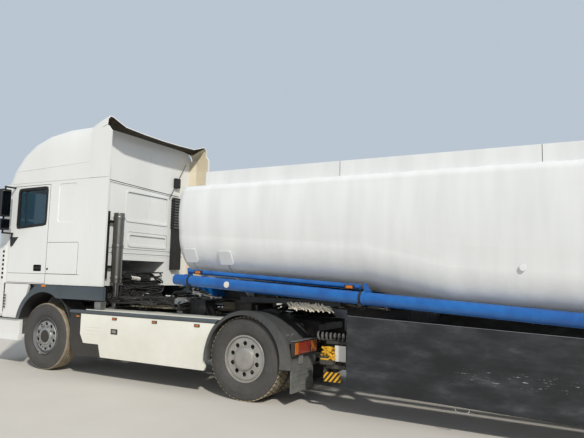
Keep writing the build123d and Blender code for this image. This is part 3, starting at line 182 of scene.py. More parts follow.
def coated(name, colours, dust, dust_z=(0.2, 1.2), amount=0.5, roughness=0.45, metallic=0.0, scale=2.0,
           coat=0.0, grain=0.0, streak=1.0):
    """A painted or moulded surface: two close tones, dust that thins upwards, and a fine grain."""
    material, tree, shader = material_tree(name)
    place = add_node(tree, "ShaderNodeTexCoord").outputs["Object"]
    drawn_out = add_node(tree, "ShaderNodeMapping", {"Vector": place, "Scale": (1, 1,
                                                                                1 / streak)}).outputs[0]
    mottle = add_node(tree, "ShaderNodeTexNoise", {"Vector": drawn_out, "Scale": scale, "Detail": 8.0})
    paint = ramp(tree, mottle.outputs["Fac"], [(0.35, colours[0]), (0.65, colours[1])])
    height = add_node(tree, "ShaderNodeSeparateXYZ", {"Vector": place}).outputs["Z"]
    settle = add_node(tree, "ShaderNodeMapRange", {"Value": height, "From Min": dust_z[0], "To Min": amount,
                                                   "From Max": dust_z[1], "To Max": 0.0})
    patches = add_node(tree, "ShaderNodeTexNoise", {"Vector": drawn_out, "Scale": scale * 4.3,
                                                    "Detail": 10.0,
                                                    "Roughness": 0.65}).outputs["Fac"]
    dusty = add_node(tree, "ShaderNodeMath", {0: settle.outputs[0], 1: patches}, operation="MULTIPLY")
    mix = add_node(tree, "ShaderNodeMix", {"Factor": dusty.outputs[0], 6: paint, 7: srgb(dust)},
                   data_type="RGBA")
    tree.links.new(mix.outputs[2], shader.inputs["Base Color"])
    dullness = add_node(tree, "ShaderNodeMapRange", {"Value": patches, "From Min": 0.3, "From Max": 0.7,
                                                     "To Min": roughness * 0.85,
                                                     "To Max": min(1.0, roughness * 1.2)})
    tree.links.new(dullness.outputs[0], shader.inputs["Roughness"])
    shader.inputs["Metallic"].default_value = metallic
    shader.inputs["Coat Weight"].default_value = coat
    if grain:
        speck = add_node(tree, "ShaderNodeTexNoise", {"Vector": place, "Scale": 220.0, "Detail": 3.0})
        bump = add_node(tree, "ShaderNodeBump", {"Height": speck.outputs["Fac"], "Strength": grain,
                                                 "Distance": 0.002})
        tree.links.new(bump.outputs[0], shader.inputs["Normal"])
    return material


def smoothed(piece, sharp=30):
    """Shades a piece smoothly, but for edges sharper than the given angle."""
    for face in piece.data.polygons:
        face.use_smooth = True
    piece.data.set_sharp_from_angle(angle=math.radians(sharp))
    even = piece.modifiers.new("even shading", "WEIGHTED_NORMAL")
    even.keep_sharp = True
    return piece


def dressed(node, material, edge=0.003, segments=2, sharp=30):
    """A smooth-shaded copy of a CAD piece with softened edges, which stands for it."""
    work = bmesh.new()
    work.from_mesh(frame["nodes"][node].data)
    bmesh.ops.remove_doubles(work, verts=work.verts, dist=0.00005)
    bmesh.ops.dissolve_limit(work, angle_limit=math.radians(0.5), verts=work.verts, edges=work.edges)
    corner = math.radians(sharp)
    hard = [e for e in work.edges if len(e.link_faces) == 2 and e.calc_face_angle() > corner]
    if edge:
        bmesh.ops.bevel(work, geom=hard, offset=edge, segments=segments, profile=0.5, affect="EDGES",
                        clamp_overlap=True, material=-1)
    piece = smoothed(new_piece(f"{node}_finished", work, material), sharp)
    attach(piece, frame["nodes"][node]["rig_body"])
    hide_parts(node)
    return piece


def paint(piece, material, chosen):
    """Gives a second material to the faces that the test chooses by their middle and normal."""
    piece.data.materials.append(material)
    index = len(piece.data.materials) - 1
    for face in piece.data.polygons:
        middle = face.center - Vector((front_axle_x, 0, 0))
        if chosen(middle, face.normal):
            face.material_index = index
    return piece


def add_block(work, low, high, edge=0.0, turn=None):
    """Adds a box between two corners, its edges rounded, turned about its middle where asked."""
    low, high = Vector(low), Vector(high)
    size = Matrix.Diagonal((*(high - low), 1))
    place = Matrix.Translation((low + high) / 2) @ (turn or Matrix()) @ size
    made = bmesh.ops.create_cube(work, size=1, matrix=place)["verts"]
    if edge:
        edges = list(dict.fromkeys(e for v in made for e in v.link_edges))
        bmesh.ops.bevel(work, geom=edges, offset=edge, segments=2, profile=0.5, affect="EDGES",
                        clamp_overlap=True, material=-1)


def add_rod(work, start, end, radius, sides=16, edge=0.0):
    """Adds a round bar between two places, its rims rounded."""
    level_enough = 1e-6
    start, end = Vector(start), Vector(end)
    along = end - start
    turn = along.to_track_quat("Z", "Y").to_matrix().to_4x4()
    made = bmesh.ops.create_cone(work, cap_ends=True, segments=sides, radius1=radius, radius2=radius,
                                 depth=along.length, matrix=Matrix.Translation((start + end) / 2) @ turn)
    if edge:
        near_ends = dict.fromkeys(e for v in made["verts"] for e in v.link_edges)
        rims = [e for e in near_ends
                if abs(e.verts[0].co.dot(along) - e.verts[1].co.dot(along)) < level_enough]
        bmesh.ops.bevel(work, geom=rims, offset=edge, segments=2, profile=0.5, affect="EDGES",
                        clamp_overlap=True, material=-1)


def added(name, work, material, node, sharp=35):
    """A piece of the scene's own, carried by the body of a CAD piece."""
    piece = smoothed(new_piece(name, work, material), sharp)
    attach(piece, frame["nodes"][node]["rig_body"])
    return piece


def added_pipes(name, routes, radius, material, node):
    """Hoses, wires and bent pipes along smooth routes, carried by the body of a CAD piece."""
    curve = bpy.data.curves.new(name, "CURVE")
    curve.dimensions = "3D"
    curve.bevel_depth = radius
    curve.bevel_resolution = 2
    curve.use_fill_caps = True
    for route in routes:
        spline = curve.splines.new("NURBS")
        spline.points.add(len(route) - 1)
        for point, place in zip(spline.points, route):
            point.co = (*place, 1)
        spline.order_u = 3
        spline.use_endpoint_u = True
        spline.resolution_u = 5
    source = bpy.data.objects.new(name, curve)
    bpy.context.scene.collection.objects.link(source)
    mesh = bpy.data.meshes.new_from_object(source.evaluated_get(bpy.context.evaluated_depsgraph_get()))
    bpy.data.objects.remove(source)
    bpy.data.curves.remove(curve)
    mesh.materials.clear()
    mesh.materials.append(material)
    piece = bpy.data.objects.new(name, mesh)
    bpy.context.scene.collection.objects.link(piece)
    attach(smoothed(piece, 50), frame["nodes"][node]["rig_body"])
    return piece


def helix(start, end, radius, turns):
    """Points round a coil from one place to another."""
    steps = 8
    start, end = Vector(start), Vector(end)
    along = (end - start).normalized()
    aside = along.cross(Vector((0, 0, 1))).normalized()
    up = aside.cross(along)
    points = []
    for step in range(turns * steps + 1):
        angle = 2 * math.pi * step / steps
        middle = start.lerp(end, step / (turns * steps))
        points.append(middle + radius * (math.cos(angle) * up + math.sin(angle) * aside))
    return points


def tangle(low, high, count, bends, seed):
    """Routes of loose cords that wander within a box, the same on each run."""
    stride = 0.45
    pick = random.Random(seed)
    routes = []
    for _ in range(count):
        place = Vector([pick.uniform(a, b) for a, b in zip(low, high)])
        route = [place]
        for _ in range(bends):
            step = [pick.uniform(-stride, stride) * (b - a) for a, b in zip(low, high)]
            place = Vector([min(max(v + s, a), b) for v, s, a, b in zip(place, step, low, high)])
            route.append(place)
        routes.append(route)
    return routes


dust_tone = "#9a8f7c"
chassis_black = coated("chassis enamel, dusty", ("#191a1c", "#242527"), dust_tone, amount=0.4,
                       roughness=0.6)
engine_iron = coated("cast iron, oily", ("#252423", "#33312e"), dust_tone, dust_z=(0.5, 1.6), amount=0.4,
                     roughness=0.65, scale=9.0, grain=0.4)
axle_black = coated("axle paint, dusty", ("#1d1d1f", "#2a2929"), dust_tone, dust_z=(0.2, 0.9), amount=0.7,
                    roughness=0.7)
coupler_steel = coated("greased steel", ("#343433", "#4b4945"), "#6d6456", dust_z=(0.9, 1.3), roughness=0.4,
                       metallic=0.7, scale=6.0)
dressed("frame", chassis_black, edge=0.0015, segments=1)
dressed("front_axle", axle_black, edge=0.004)
dressed("drive_axle", axle_black, edge=0.004)
dressed("knuckle_left", axle_black, edge=0.004)
dressed("knuckle_right", axle_black, edge=0.004)
dressed("engine", engine_iron, edge=0.02, segments=3)
dressed("fifth_wheel", coupler_steel, edge=0.003)

# Skirts: panels of cream gloss sheet with a keyhole latch, under a rounded slate rail with a sheet cover
# behind it. The moulding at the panel's foot is black plastic, and small lamps stand under the rail.
skirt_cream = coated("cream gloss sheet", ("#e2e2d7", "#eaeae1"), "#aca490", dust_z=(0.25, 0.9), amount=0.4,
                     roughness=0.32, coat=0.25)
slate_plastic = coated("slate grey moulding", ("#333f48", "#3e4b54"), "#a29a8b", dust_z=(0.3, 1.5),
                       amount=0.4,
                       roughness=0.5, grain=0.3)
black_plastic = coated("black moulding", ("#161718", "#212224"), "#7d7568", dust_z=(0.2, 1.4), amount=0.35,
                       roughness=0.55, grain=0.4)
amber_lens = coated("amber lens", ("#b85e0e", "#cf7416"), "#7a5c38", dust_z=(0.2, 1.6), amount=0.35,
                    roughness=0.25, coat=0.6)
latch_steel = coated("latch steel", ("#a5a39c", "#b9b6ae"), "#8a8070", dust_z=(0.2, 1.0), roughness=0.35,
                     metallic=0.8, scale=20.0)
dressed("side_skirts", skirt_cream, edge=0.006, segments=3)
trim = dressed("skirt_trim", slate_plastic, edge=0.003)
rail_foot_z, rail_inner_y = 0.915, 1.158
paint(trim, black_plastic, lambda middle, normal: middle.z < rail_foot_z)
paint(trim, skirt_cream, lambda middle,
      normal: abs(middle.y) < rail_inner_y and middle.z > rail_foot_z + 0.03)
skirt_face_y = 1.245
marker_x = [-0.835, -1.580, -2.337, -3.070]
for side in (1, -1):
    work = bmesh.new()
    for x in marker_x:
        low, high = sorted((side * (skirt_face_y - 0.002), side * (skirt_face_y + 0.016)))
        add_block(work, at(x - 0.030, low, 0.873), at(x + 0.030, high, 0.895), 0.004)
    added(f"skirt_marker_lenses_{side}", work, amber_lens, "side_skirts")
    work = bmesh.new()
    for x in marker_x:
        low, high = sorted((side * (skirt_face_y - 0.002), side * (skirt_face_y + 0.008)))
        add_block(work, at(x - 0.045, low, 0.865), at(x + 0.045, high, 0.903), 0.003)
    low, high = sorted((side * (skirt_face_y - 0.002), side * (skirt_face_y + 0.006)))
    add_block(work, at(-1.650, low, 0.665), at(-1.520, high, 0.740), 0.012)
    added(f"skirt_marker_bases_{side}", work, black_plastic, "side_skirts")
    work = bmesh.new()
    low, high = sorted((side * (skirt_face_y + 0.002), side * (skirt_face_y + 0.012)))
    add_block(work, at(-1.625, low, 0.682), at(-1.545, high, 0.724), 0.006)
    add_rod(work, at(-1.585, low, 0.703), at(-1.585, high + side * 0.006, 0.703), 0.014, edge=0.003)
    added(f"skirt_latch_{side}", work, latch_steel, "side_skirts")
    work = bmesh.new()
    for z in (0.640, 0.690, 0.740):
        low, high = sorted((side * (skirt_face_y - 0.002), side * (skirt_face_y + 0.003)))
        add_block(work, at(-1.330, low, z), at(-0.990, high, z + 0.008), 0.002)
    added(f"skirt_ribs_{side}", work, skirt_cream, "side_skirts")
tank_alloy = coated("fuel tank aluminium", ("#85888a", "#98999a"), "#93866f", dust_z=(0.3, 1.0),
                    roughness=0.38,
                    metallic=0.8, scale=4.0)
dressed("fuel_tanks", tank_alloy, edge=0.004)

# Deck behind the cab: dusty aluminium plate on bearers, a corrugated air vessel, a strapped black box,
# the battery box and a small grey fuse box.
deck_alloy = coated("dusty deck plate", ("#6f695c", "#8d8676"), "#a69a83", dust_z=(0.9, 1.3), amount=0.8,
                    roughness=0.6, metallic=0.2, scale=7.0, grain=0.5)
box_steel = coated("galvanised sheet", ("#a9aaa8", "#bcbdbb"), "#8d8474", dust_z=(0.9, 1.4), amount=0.5,
                   roughness=0.4, metallic=0.7, scale=8.0)
rubber_hose = coated("black hose rubber", ("#141414", "#1d1d1e"), "#5d574d", dust_z=(0.3, 2.0), amount=0.4,
                     roughness=0.5, scale=14.0)
white_hose = coated("curly white hose", ("#d2d0c8", "#dedcd4"), "#948a78", dust_z=(0.5, 1.8), amount=0.4,
                    roughness=0.5, scale=14.0)
deck = dressed("deck", deck_alloy, edge=0.003)
paint(deck, chassis_black, lambda middle, normal: middle.z > 1.085 and middle.x > -2.21)
paint(deck, box_steel, lambda middle, normal: -2.46 < middle.x < -2.21 and middle.y > 0.45)
paint(deck, chassis_black, lambda middle, normal: -2.85 < middle.x < -2.52 and middle.y > 0.45)
work = bmesh.new()
for x in (-2.775, -2.685, -2.595):
    add_block(work, at(x - 0.014, 0.497, 0.995), at(x + 0.014, 0.763, 1.192), 0.002)
added("box_straps", work, black_plastic, "deck")
work = bmesh.new()
for x in (-2.41, -2.36, -2.30, -2.25):
    add_rod(work, at(x - 0.008, 0.64, 1.105), at(x + 0.008, 0.64, 1.105), 0.103, sides=32, edge=0.004)
added("vessel_rings", work, box_steel, "deck")

# Wheel arches, steps and bumper: slate mouldings round the front wheel over a black liner, a white
# step panel and bumper, and an amber lamp over the wheel.
cab_white = coated("white cab enamel", ("#dfe1df", "#e7e9e8"), "#aea898", dust_z=(0.4, 2.4), amount=0.22,
                   roughness=0.30, coat=0.5, scale=1.5, streak=4.0)
arches = dressed("front_arches", slate_plastic, edge=0.004)
paint(arches, black_plastic, lambda middle, normal: abs(middle.y) < 1.20)
paint(arches, cab_white, lambda middle, normal: middle.x > 0.53 and abs(middle.y) > 1.19)
dressed("bumper", cab_white, edge=0.006, segments=3)
for side in (1, -1):
    work = bmesh.new()
    low, high = sorted((side * 1.268, side * 1.284))
    add_block(work, at(-0.085, low, 1.294), at(0.005, high, 1.326), 0.005)
    added(f"arch_marker_{side}", work, amber_lens, "front_arches")
    work = bmesh.new()
    low, high = sorted((side * 1.180, side * 1.262))
    add_block(work, at(0.590, low, 0.761), at(1.080, high, 0.774), 0.003)
    low, high = sorted((side * 1.262, side * 1.2655))
    for step in range(5):
        add_block(work, at(0.900, low, 0.930 + 0.048 * step), at(0.955, high, 0.952 + 0.048 * step), 0.002)
    added(f"step_trim_{side}", work, black_plastic, "front_arches")
work = bmesh.new()
add_block(work, at(-1.130, 1.000, 0.986), at(-1.000, 1.110, 1.105), 0.010)
added("fuse_box", work, box_steel, "deck")

# Cab: pressed steel panels in white enamel, with narrow gaps round doors and flaps, and a recessed
# black handle. The floors and sides of the gaps and grooves are painted near-black, and the slopes of the
# rear wall's pressed fields grey: both are painted shade. The folded roof deflector is bare laminate on
# its underside and inner faces: cream inside, and painted dark brown underneath as painted shade.
# Near-black for seals, clamps, locks and lamp bases, and as painted shade in the floors and sides of gaps and
# grooves.
near_black_and_gap_shade = coated("near-black parts and painted gap shade", ("#141516", "#1c1d1e"), "#6d665a", dust_z=(0.4, 2.4), amount=0.2,
                   roughness=0.8)
# Dark brown laminate: the cream laminate in painted shade, for the visor's underside.
laminate_painted_shade = coated("fibreglass laminate in painted shade", ("#292216", "#3a3121"), "#2a2418", dust_z=(2.0, 4.2),
                       amount=0.6,
                       roughness=0.75, scale=3.0, grain=0.6)
cream_laminate = coated("cream inner laminate", ("#d8ccb0", "#e3d9c2"), "#9a8d70", dust_z=(1.0, 4.5),
                        amount=0.4,
                        roughness=0.6, scale=3.0, grain=0.3)
cab_half_width = 1.245
groove_y = cab_half_width - 0.0015


def in_groove(middle, normal):
    """Whether a face is the floor or side of a narrow groove in the cab's side."""
    return cab_half_width - 0.03 < abs(middle.y) < groove_y


# Grey for the tank's coaming joints, and as painted shade on the slopes of the rear wall's pressed fields.
joint_grey_and_slope_shade = coated("joint grey and painted slope shade", ("#8f9290", "#9da09e"), "#8d8778", dust_z=(0.4, 3.4), amount=0.5,
                   roughness=0.5, scale=3.0)
shell = dressed("cab_shell", cab_white, edge=0.002)
# The floors and sides of the cab's narrow grooves are painted near-black: painted shade in the gaps.
paint(shell, near_black_and_gap_shade, lambda middle, normal: in_groove(middle, normal) and -0.80 < middle.x < 0.95
      and not (middle.z > 2.15 and -0.65 < middle.x < -0.08))
# The slopes of the rear wall's pressed fields are painted grey: painted shade.
paint(shell, joint_grey_and_slope_shade, lambda middle,
      normal: middle.x < -0.83 and abs(middle.y) < 1.1 and -0.93 < normal.x < 0.3)
dressed("cab_roof", cab_white, edge=0.004, segments=3, sharp=24)
grille = dressed("front_grille", cab_white, edge=0.004)
# The gaps at the grille's sides and a slot across its front are painted near-black: painted shade in them.
paint(grille, near_black_and_gap_shade, lambda middle, normal: 1.20 < abs(middle.y) < 1.262 and 1.0 < middle.x < 1.07)
paint(grille, near_black_and_gap_shade, lambda middle, normal: 1.355 < middle.x < 1.379 and abs(middle.y) < 0.79)
handle_x, handle_z = 0.186, 1.590


def in_handle(middle, normal):
    """Whether a face belongs to the door's handle or the tub round it."""
    deep = abs(middle.y) < cab_half_width - 0.0015
    return deep and abs(middle.x - handle_x) < 0.11 and abs(middle.z - handle_z) < 0.07


for hand in ("left", "right"):
    door = dressed(f"door_{hand}", cab_white, edge=0.002)
    # The door's edges and grooves are painted near-black as painted shade in the gaps; the handle and its tub
    # are black.
    paint(door, near_black_and_gap_shade, in_groove)
    paint(door, near_black_and_gap_shade, in_handle)
fairings = dressed("air_deflectors", cab_white, edge=0.004, sharp=24)
# The visor's underside is painted dark brown as painted shade; the far fairing's inner faces are cream
# laminate.
paint(fairings, laminate_painted_shade, lambda middle, normal: normal.z < -0.4 and middle.z > 3.6)
paint(fairings, cream_laminate, lambda middle, normal: normal.y * middle.y < -0.4 and abs(middle.y) > 1.15)
for side in (1, -1):
    work = bmesh.new()
    low, high = sorted((side * (cab_half_width - 0.006), side * (cab_half_width + 0.003)))
    add_rod(work, at(-0.055, low, 1.577), at(-0.055, high, 1.577), 0.020, sides=20, edge=0.002)
    added(f"locker_lock_{side}", work, near_black_and_gap_shade, "cab_shell")

# Glass: tinted panes in thick black rubber with rounded corners, and inside them cloth seats and the
# dashboard. A divider stands near the front of each door's window.
tinted_glass, tree, shader = material_tree("tinted glass")
shader.inputs["Base Color"].default_value = srgb("#7f989f")
shader.inputs["Transmission Weight"].default_value = 1.0
shader.inputs["IOR"].default_value = 1.45
place = add_node(tree, "ShaderNodeTexCoord").outputs["Object"]
film = add_node(tree, "ShaderNodeTexNoise", {"Vector": place, "Scale": 3.0, "Detail": 6.0}).outputs["Fac"]
haze = add_node(tree, "ShaderNodeMapRange", {"Value": film, "To Min": 0.0, "To Max": 0.06}).outputs[0]
tree.links.new(haze, shader.inputs["Roughness"])
for name in ("windscreen", "door_glass_left", "door_glass_right"):
    dressed(name, tinted_glass, edge=0.0)
window_corners = [(0.778, 2.222), (0.030, 2.272), (0.030, 2.910), (0.773, 2.900)]
for side, hand in ((1, "left"), (-1, "right")):
    work = bmesh.new()
    outer_y = side * (cab_half_width + 0.004)
    ring = work.faces.new([work.verts.new(at(x, outer_y, z)) for x, z in window_corners])
    bmesh.ops.bevel(work, geom=work.verts[:], offset=0.075, segments=6, profile=0.5, affect="VERTICES")
    ring = max(work.faces, key=lambda face: face.calc_area())
    bmesh.ops.inset_region(work, faces=[ring], thickness=0.044, use_boundary=True, use_even_offset=True)
    bmesh.ops.delete(work, geom=[ring], context="FACES")
    made = bmesh.ops.extrude_face_region(work, geom=work.faces[:])["geom"]
    moved = [v for v in made if isinstance(v, bmesh.types.BMVert)]
    bmesh.ops.translate(work, verts=moved, vec=(0, side * -0.028, 0))
    low, high = sorted((outer_y - side * 0.006, outer_y - side * 0.018))
    divider = Matrix.Rotation(math.radians(3), 4, "Y")
    add_block(work, at(0.572, low, 2.26), at(0.588, high, 2.89), 0.0, divider)
    bmesh.ops.recalc_face_normals(work, faces=work.faces)
    added(f"window_seal_{hand}", work, near_black_and_gap_shade, f"door_{hand}")
seat_cloth = coated("grey seat cloth", ("#2a2b30", "#3a3b41"), "#5b5750", dust_z=(0.5, 2.5), amount=0.2,
                    roughness=0.9, scale=30.0, grain=0.8)
dash_plastic = coated("dashboard plastic", ("#2c2d2f", "#37383a"), "#6b665c", dust_z=(0.5, 2.5), amount=0.3,
                      roughness=0.6, grain=0.6)
dressed("seats", seat_cloth, edge=0.04, segments=4)
dressed("dashboard", dash_plastic, edge=0.01, segments=3)

# Mirrors: black moulded heads on black arms, with a pane in each head that faces the rear.
mirror_silver, tree, shader = material_tree("mirror glass")
place = add_node(tree, "ShaderNodeTexCoord").outputs["Object"]
film = add_node(tree, "ShaderNodeTexNoise", {"Vector": place, "Scale": 9.0, "Detail": 5.0}).outputs["Fac"]
tree.links.new(ramp(tree, film, [(0.3, "#50565a"), (0.7, "#5d6469")]), shader.inputs["Base Color"])
shader.inputs["Metallic"].default_value = 1.0
shader.inputs["Roughness"].default_value = 0.06
for side, hand in ((1, "left"), (-1, "right")):
    dressed(f"mirrors_{hand}", black_plastic, edge=0.014, segments=4)
    work = bmesh.new()
    for low_z, high_z, x in ((2.445, 2.845, 0.800), (2.220, 2.360, 0.790)):
        low, high = sorted((side * (cab_half_width + 0.125), side * (cab_half_width + 0.275)))
        add_block(work, at(x - 0.003, low, low_z), at(x + 0.004, high, high_z), 0.003)
    added(f"mirror_panes_{hand}", work, mirror_silver, f"mirrors_{hand}")

# Rear wall of the cab: the ribbed black air duct, a working lamp, brackets, the rims of two pressed
# fields, the joint under the roof and a whip aerial. Loose rubber hoses lie behind it and under the tank,
# with a battery cover, couplings and a valve box among them. Two black blocks ahead of the valve box
# stand in for the shade under the tank.
duct = dressed("intake_duct", black_plastic, edge=0.003)
pale_grey_plastic = coated("pale grey plastic", ("#4c4f51", "#5a5d5f"), "#7d7568", dust_z=(1.5, 3.5),
                      amount=0.4,
                      roughness=0.6, scale=9.0)
# The duct's rearmost faces are pale grey.
paint(duct, pale_grey_plastic, lambda middle, normal: middle.x < -0.966)
cab_rear_x = -0.870
work = bmesh.new()
add_block(work, at(cab_rear_x - 0.07, -0.83, 3.12), at(cab_rear_x - 0.001, -0.70, 3.30), 0.012)
add_block(work, at(cab_rear_x - 0.040, 0.800, 1.45), at(cab_rear_x - 0.001, 0.840, 2.52), 0.006)
for z in (1.62, 2.34):
    add_block(work, at(cab_rear_x - 0.060, 0.640, z), at(cab_rear_x - 0.001, 0.860, z + 0.035), 0.005)
add_block(work, at(cab_rear_x - 0.035, 0.30, 1.33), at(cab_rear_x - 0.001, -0.35, 1.37), 0.006)
added("rear_wall_fittings", work, black_plastic, "cab_shell")
work = bmesh.new()
for right_y, left_y, foot_z, top_z in ((-0.585, 0.450, 2.392, 2.920), (-0.572, 0.365, 1.978, 2.205)):
    corners = [(left_y, foot_z), (left_y, top_z), (right_y, top_z), (right_y, foot_z)]
    face = work.faces.new([work.verts.new(at(cab_rear_x - 0.001, y, z)) for y, z in corners])
    bmesh.ops.bevel(work, geom=face.verts[:], offset=0.060, segments=5, profile=0.5, affect="VERTICES")
    field = max((f for f in work.faces if len(f.verts) > 4), key=lambda f: f.calc_area())
    bmesh.ops.inset_region(work, faces=[field], thickness=0.030, use_boundary=True, use_even_offset=True)
    bmesh.ops.delete(work, geom=[field], context="FACES")
rims = bmesh.ops.extrude_face_region(work, geom=work.faces[:])["geom"]
bmesh.ops.translate(work, verts=[v for v in rims if isinstance(v, bmesh.types.BMVert)], vec=(-0.011, 0, 0))
bmesh.ops.recalc_face_normals(work, faces=work.faces)
added("rear_wall_rims", work, cab_white, "cab_shell", 60)
work = bmesh.new()
add_rod(work, at(cab_rear_x - 0.001, 0.955, 3.036), at(cab_rear_x - 0.001, -0.860, 2.970), 0.005, sides=8)
add_rod(work, at(cab_rear_x - 0.001, 0.955, 3.008), at(cab_rear_x - 0.001, -0.860, 2.942), 0.003, sides=8)
added("rear_wall_joint", work, near_black_and_gap_shade, "cab_shell")
aerial = [at(cab_rear_x - 0.01, -0.60, 2.90), at(cab_rear_x - 0.03, -0.75, 3.20), at(cab_rear_x - 0.03,
                                                                                     -1.0, 3.60)]
added_pipes("whip_aerial", [aerial], 0.005, near_black_and_gap_shade, "cab_shell")
added_pipes("wall_hoses", tangle(at(-1.018, -0.40, 1.05), at(-0.950, 0.60, 1.338), 26, 9, 3), 0.011,
            rubber_hose,
            "deck")
added_pipes("side_hoses", tangle(at(-1.120, 0.86, 1.05), at(-0.950, 1.08, 1.300), 7, 6, 4), 0.010,
            rubber_hose, "deck")
added_pipes("deck_hoses", tangle(at(-2.060, -0.40, 1.095), at(-1.120, 0.96, 1.171), 26, 10, 5), 0.012,
            rubber_hose,
            "deck")
added_pipes("rear_deck_hoses", tangle(at(-2.560, -0.30, 1.020), at(-2.180, 1.00, 1.171), 10, 7, 6), 0.012,
            rubber_hose, "deck")
added_pipes("brake_hoses", tangle(at(-3.960, -0.36, 1.060), at(-3.620, 0.50, 1.168), 10, 6, 9), 0.013,
            rubber_hose,
            "deck")
work = bmesh.new()
add_block(work, at(-1.950, -1.080, 1.030), at(-1.400, -0.620, 1.183), 0.015)
added("battery_cover", work, black_plastic, "deck")
added_pipes("cross_hoses", tangle(at(-4.240, 0.30, 1.224), at(-3.700, 0.98, 1.300), 9, 6, 13), 0.013,
            rubber_hose,
            "trailer_frame")
work = bmesh.new()
add_block(work, at(-2.700, 0.620, 1.262), at(-2.580, 0.760, 1.372), 0.012)
add_rod(work, at(-2.640, 0.800, 1.290), at(-2.980, 0.700, 1.232), 0.015, edge=0.003)
add_rod(work, at(-2.760, 0.600, 1.250), at(-2.800, 0.860, 1.262), 0.020, edge=0.004)
add_rod(work, at(-2.900, 0.660, 1.226), at(-3.080, 0.740, 1.238), 0.012, edge=0.003)
add_rod(work, at(-2.930, 0.780, 1.230), at(-2.950, 0.680, 1.262), 0.017, edge=0.003)
added("hose_couplings", work, box_steel, "trailer_frame")
added_pipes("nose_hoses", tangle(at(-2.760, -0.45, 1.222), at(-2.380, 0.98, 1.400), 16, 7, 7), 0.012,
            rubber_hose,
            "trailer_frame")
added_pipes("tray_hoses", tangle(at(-5.560, -0.60, 1.175), at(-4.200, 0.98, 1.330), 24, 7, 8), 0.015,
            rubber_hose,
            "trailer_frame")
work = bmesh.new()
add_block(work, at(-5.480, -0.460, 0.985), at(-5.060, 0.460, 1.200), 0.030)
# These two black blocks ahead of the valve box are painted shade: dark fill for the shade under the tank.
add_block(work, at(-5.070, -0.420, 1.142), at(-4.680, 0.420, 1.225), 0.012)
add_block(work, at(-5.070, -0.420, 1.035), at(-4.840, 0.420, 1.150), 0.012)
for y in (-0.30, 0.30):
    add_block(work, at(-5.300, y - 0.02, 1.190), at(-5.240, y + 0.02, 1.300), 0.004)
added("valve_box_and_shade_blocks", work, chassis_black, "trailer_frame")
coil = helix(at(-0.955, 0.32, 1.465), at(-0.955, 0.12, 1.445), 0.026, 6)
added_pipes("curled_air_hose", [coil], 0.009, white_hose, "cab_shell")
added_pipes("wall_cables", tangle(at(-0.968, -0.42, 1.380), at(-0.892, 0.58, 1.560), 14, 8, 10), 0.011,
            rubber_hose,
            "cab_shell")

# Exhaust: a dull stainless silencer in straps behind the cab, and a bright pipe end by the fuel tank.
stack_steel = coated("heat-dulled stainless steel", ("#8a8985", "#a9a8a4"), "#4f4c46", dust_z=(1.0, 3.2),
                     amount=0.5,
                     roughness=0.30, metallic=0.95, scale=5.0, streak=5.0)
dressed("exhaust_stack", stack_steel, edge=0.003)
bright_steel = coated("polished exhaust end", ("#b5b3ae", "#c8c6c2"), "#7d7568", dust_z=(0.1, 0.8),
                      amount=0.4,
                      roughness=0.2, metallic=1.0, scale=10.0)
work = bmesh.new()
add_rod(work, at(-0.560, 1.020, 0.400), at(-0.690, 1.100, 0.350), 0.052, sides=32)
ends = [face for face in work.faces if len(face.verts) > 4]
bmesh.ops.inset_region(work, faces=ends, thickness=0.006)
hollow = [face for face in work.faces if len(face.verts) > 4]
bmesh.ops.translate(work, verts=[v for v in max(hollow, key=lambda f: -f.calc_center_median().x).verts],
                    vec=(0.08, -0.05, 0.03))
added("exhaust_end", work, bright_steel, "fuel_tanks")

# Rear mudguards, flaps and lamps: faded plastic shells with bolts, ribbed rubber flaps, and lamp
# clusters with amber and red lenses under a sheet cover. The head lamps are clear.
fender_plastic = coated("faded mudguard plastic", ("#2b2e31", "#383b3e"), "#807d76", dust_z=(0.3, 1.3),
                        amount=0.8,
                        roughness=0.6, grain=0.4)
lamp_red = coated("red lens", ("#7a2413", "#963219"), "#6b5a4b", dust_z=(0.3, 1.0), amount=0.3,
                  roughness=0.25,
                  coat=0.6)
clear_lens = coated("clear lamp lens", ("#b9bdbd", "#cdd1d1"), "#8a8274", dust_z=(0.3, 1.0), amount=0.3,
                    roughness=0.12, coat=0.8)
flap_rubber = coated("grey flap rubber", ("#515453", "#636664"), "#9a978e", dust_z=(0.1, 0.9), amount=0.4,
                     roughness=0.75, grain=0.4, scale=7.0)
guards = dressed("rear_mudguards", fender_plastic, edge=0.003)
paint(guards, flap_rubber, lambda middle,
      normal: middle.z < 0.545 and middle.x < -4.455 and abs(middle.y) < 1.22)
tail_lamps = dressed("tractor_lamps", black_plastic, edge=0.006)
paint(tail_lamps, clear_lens, lambda middle, normal: middle.x > 0)
dressed("trailer_lamps", lamp_red, edge=0.006)
tail_x = -4.510
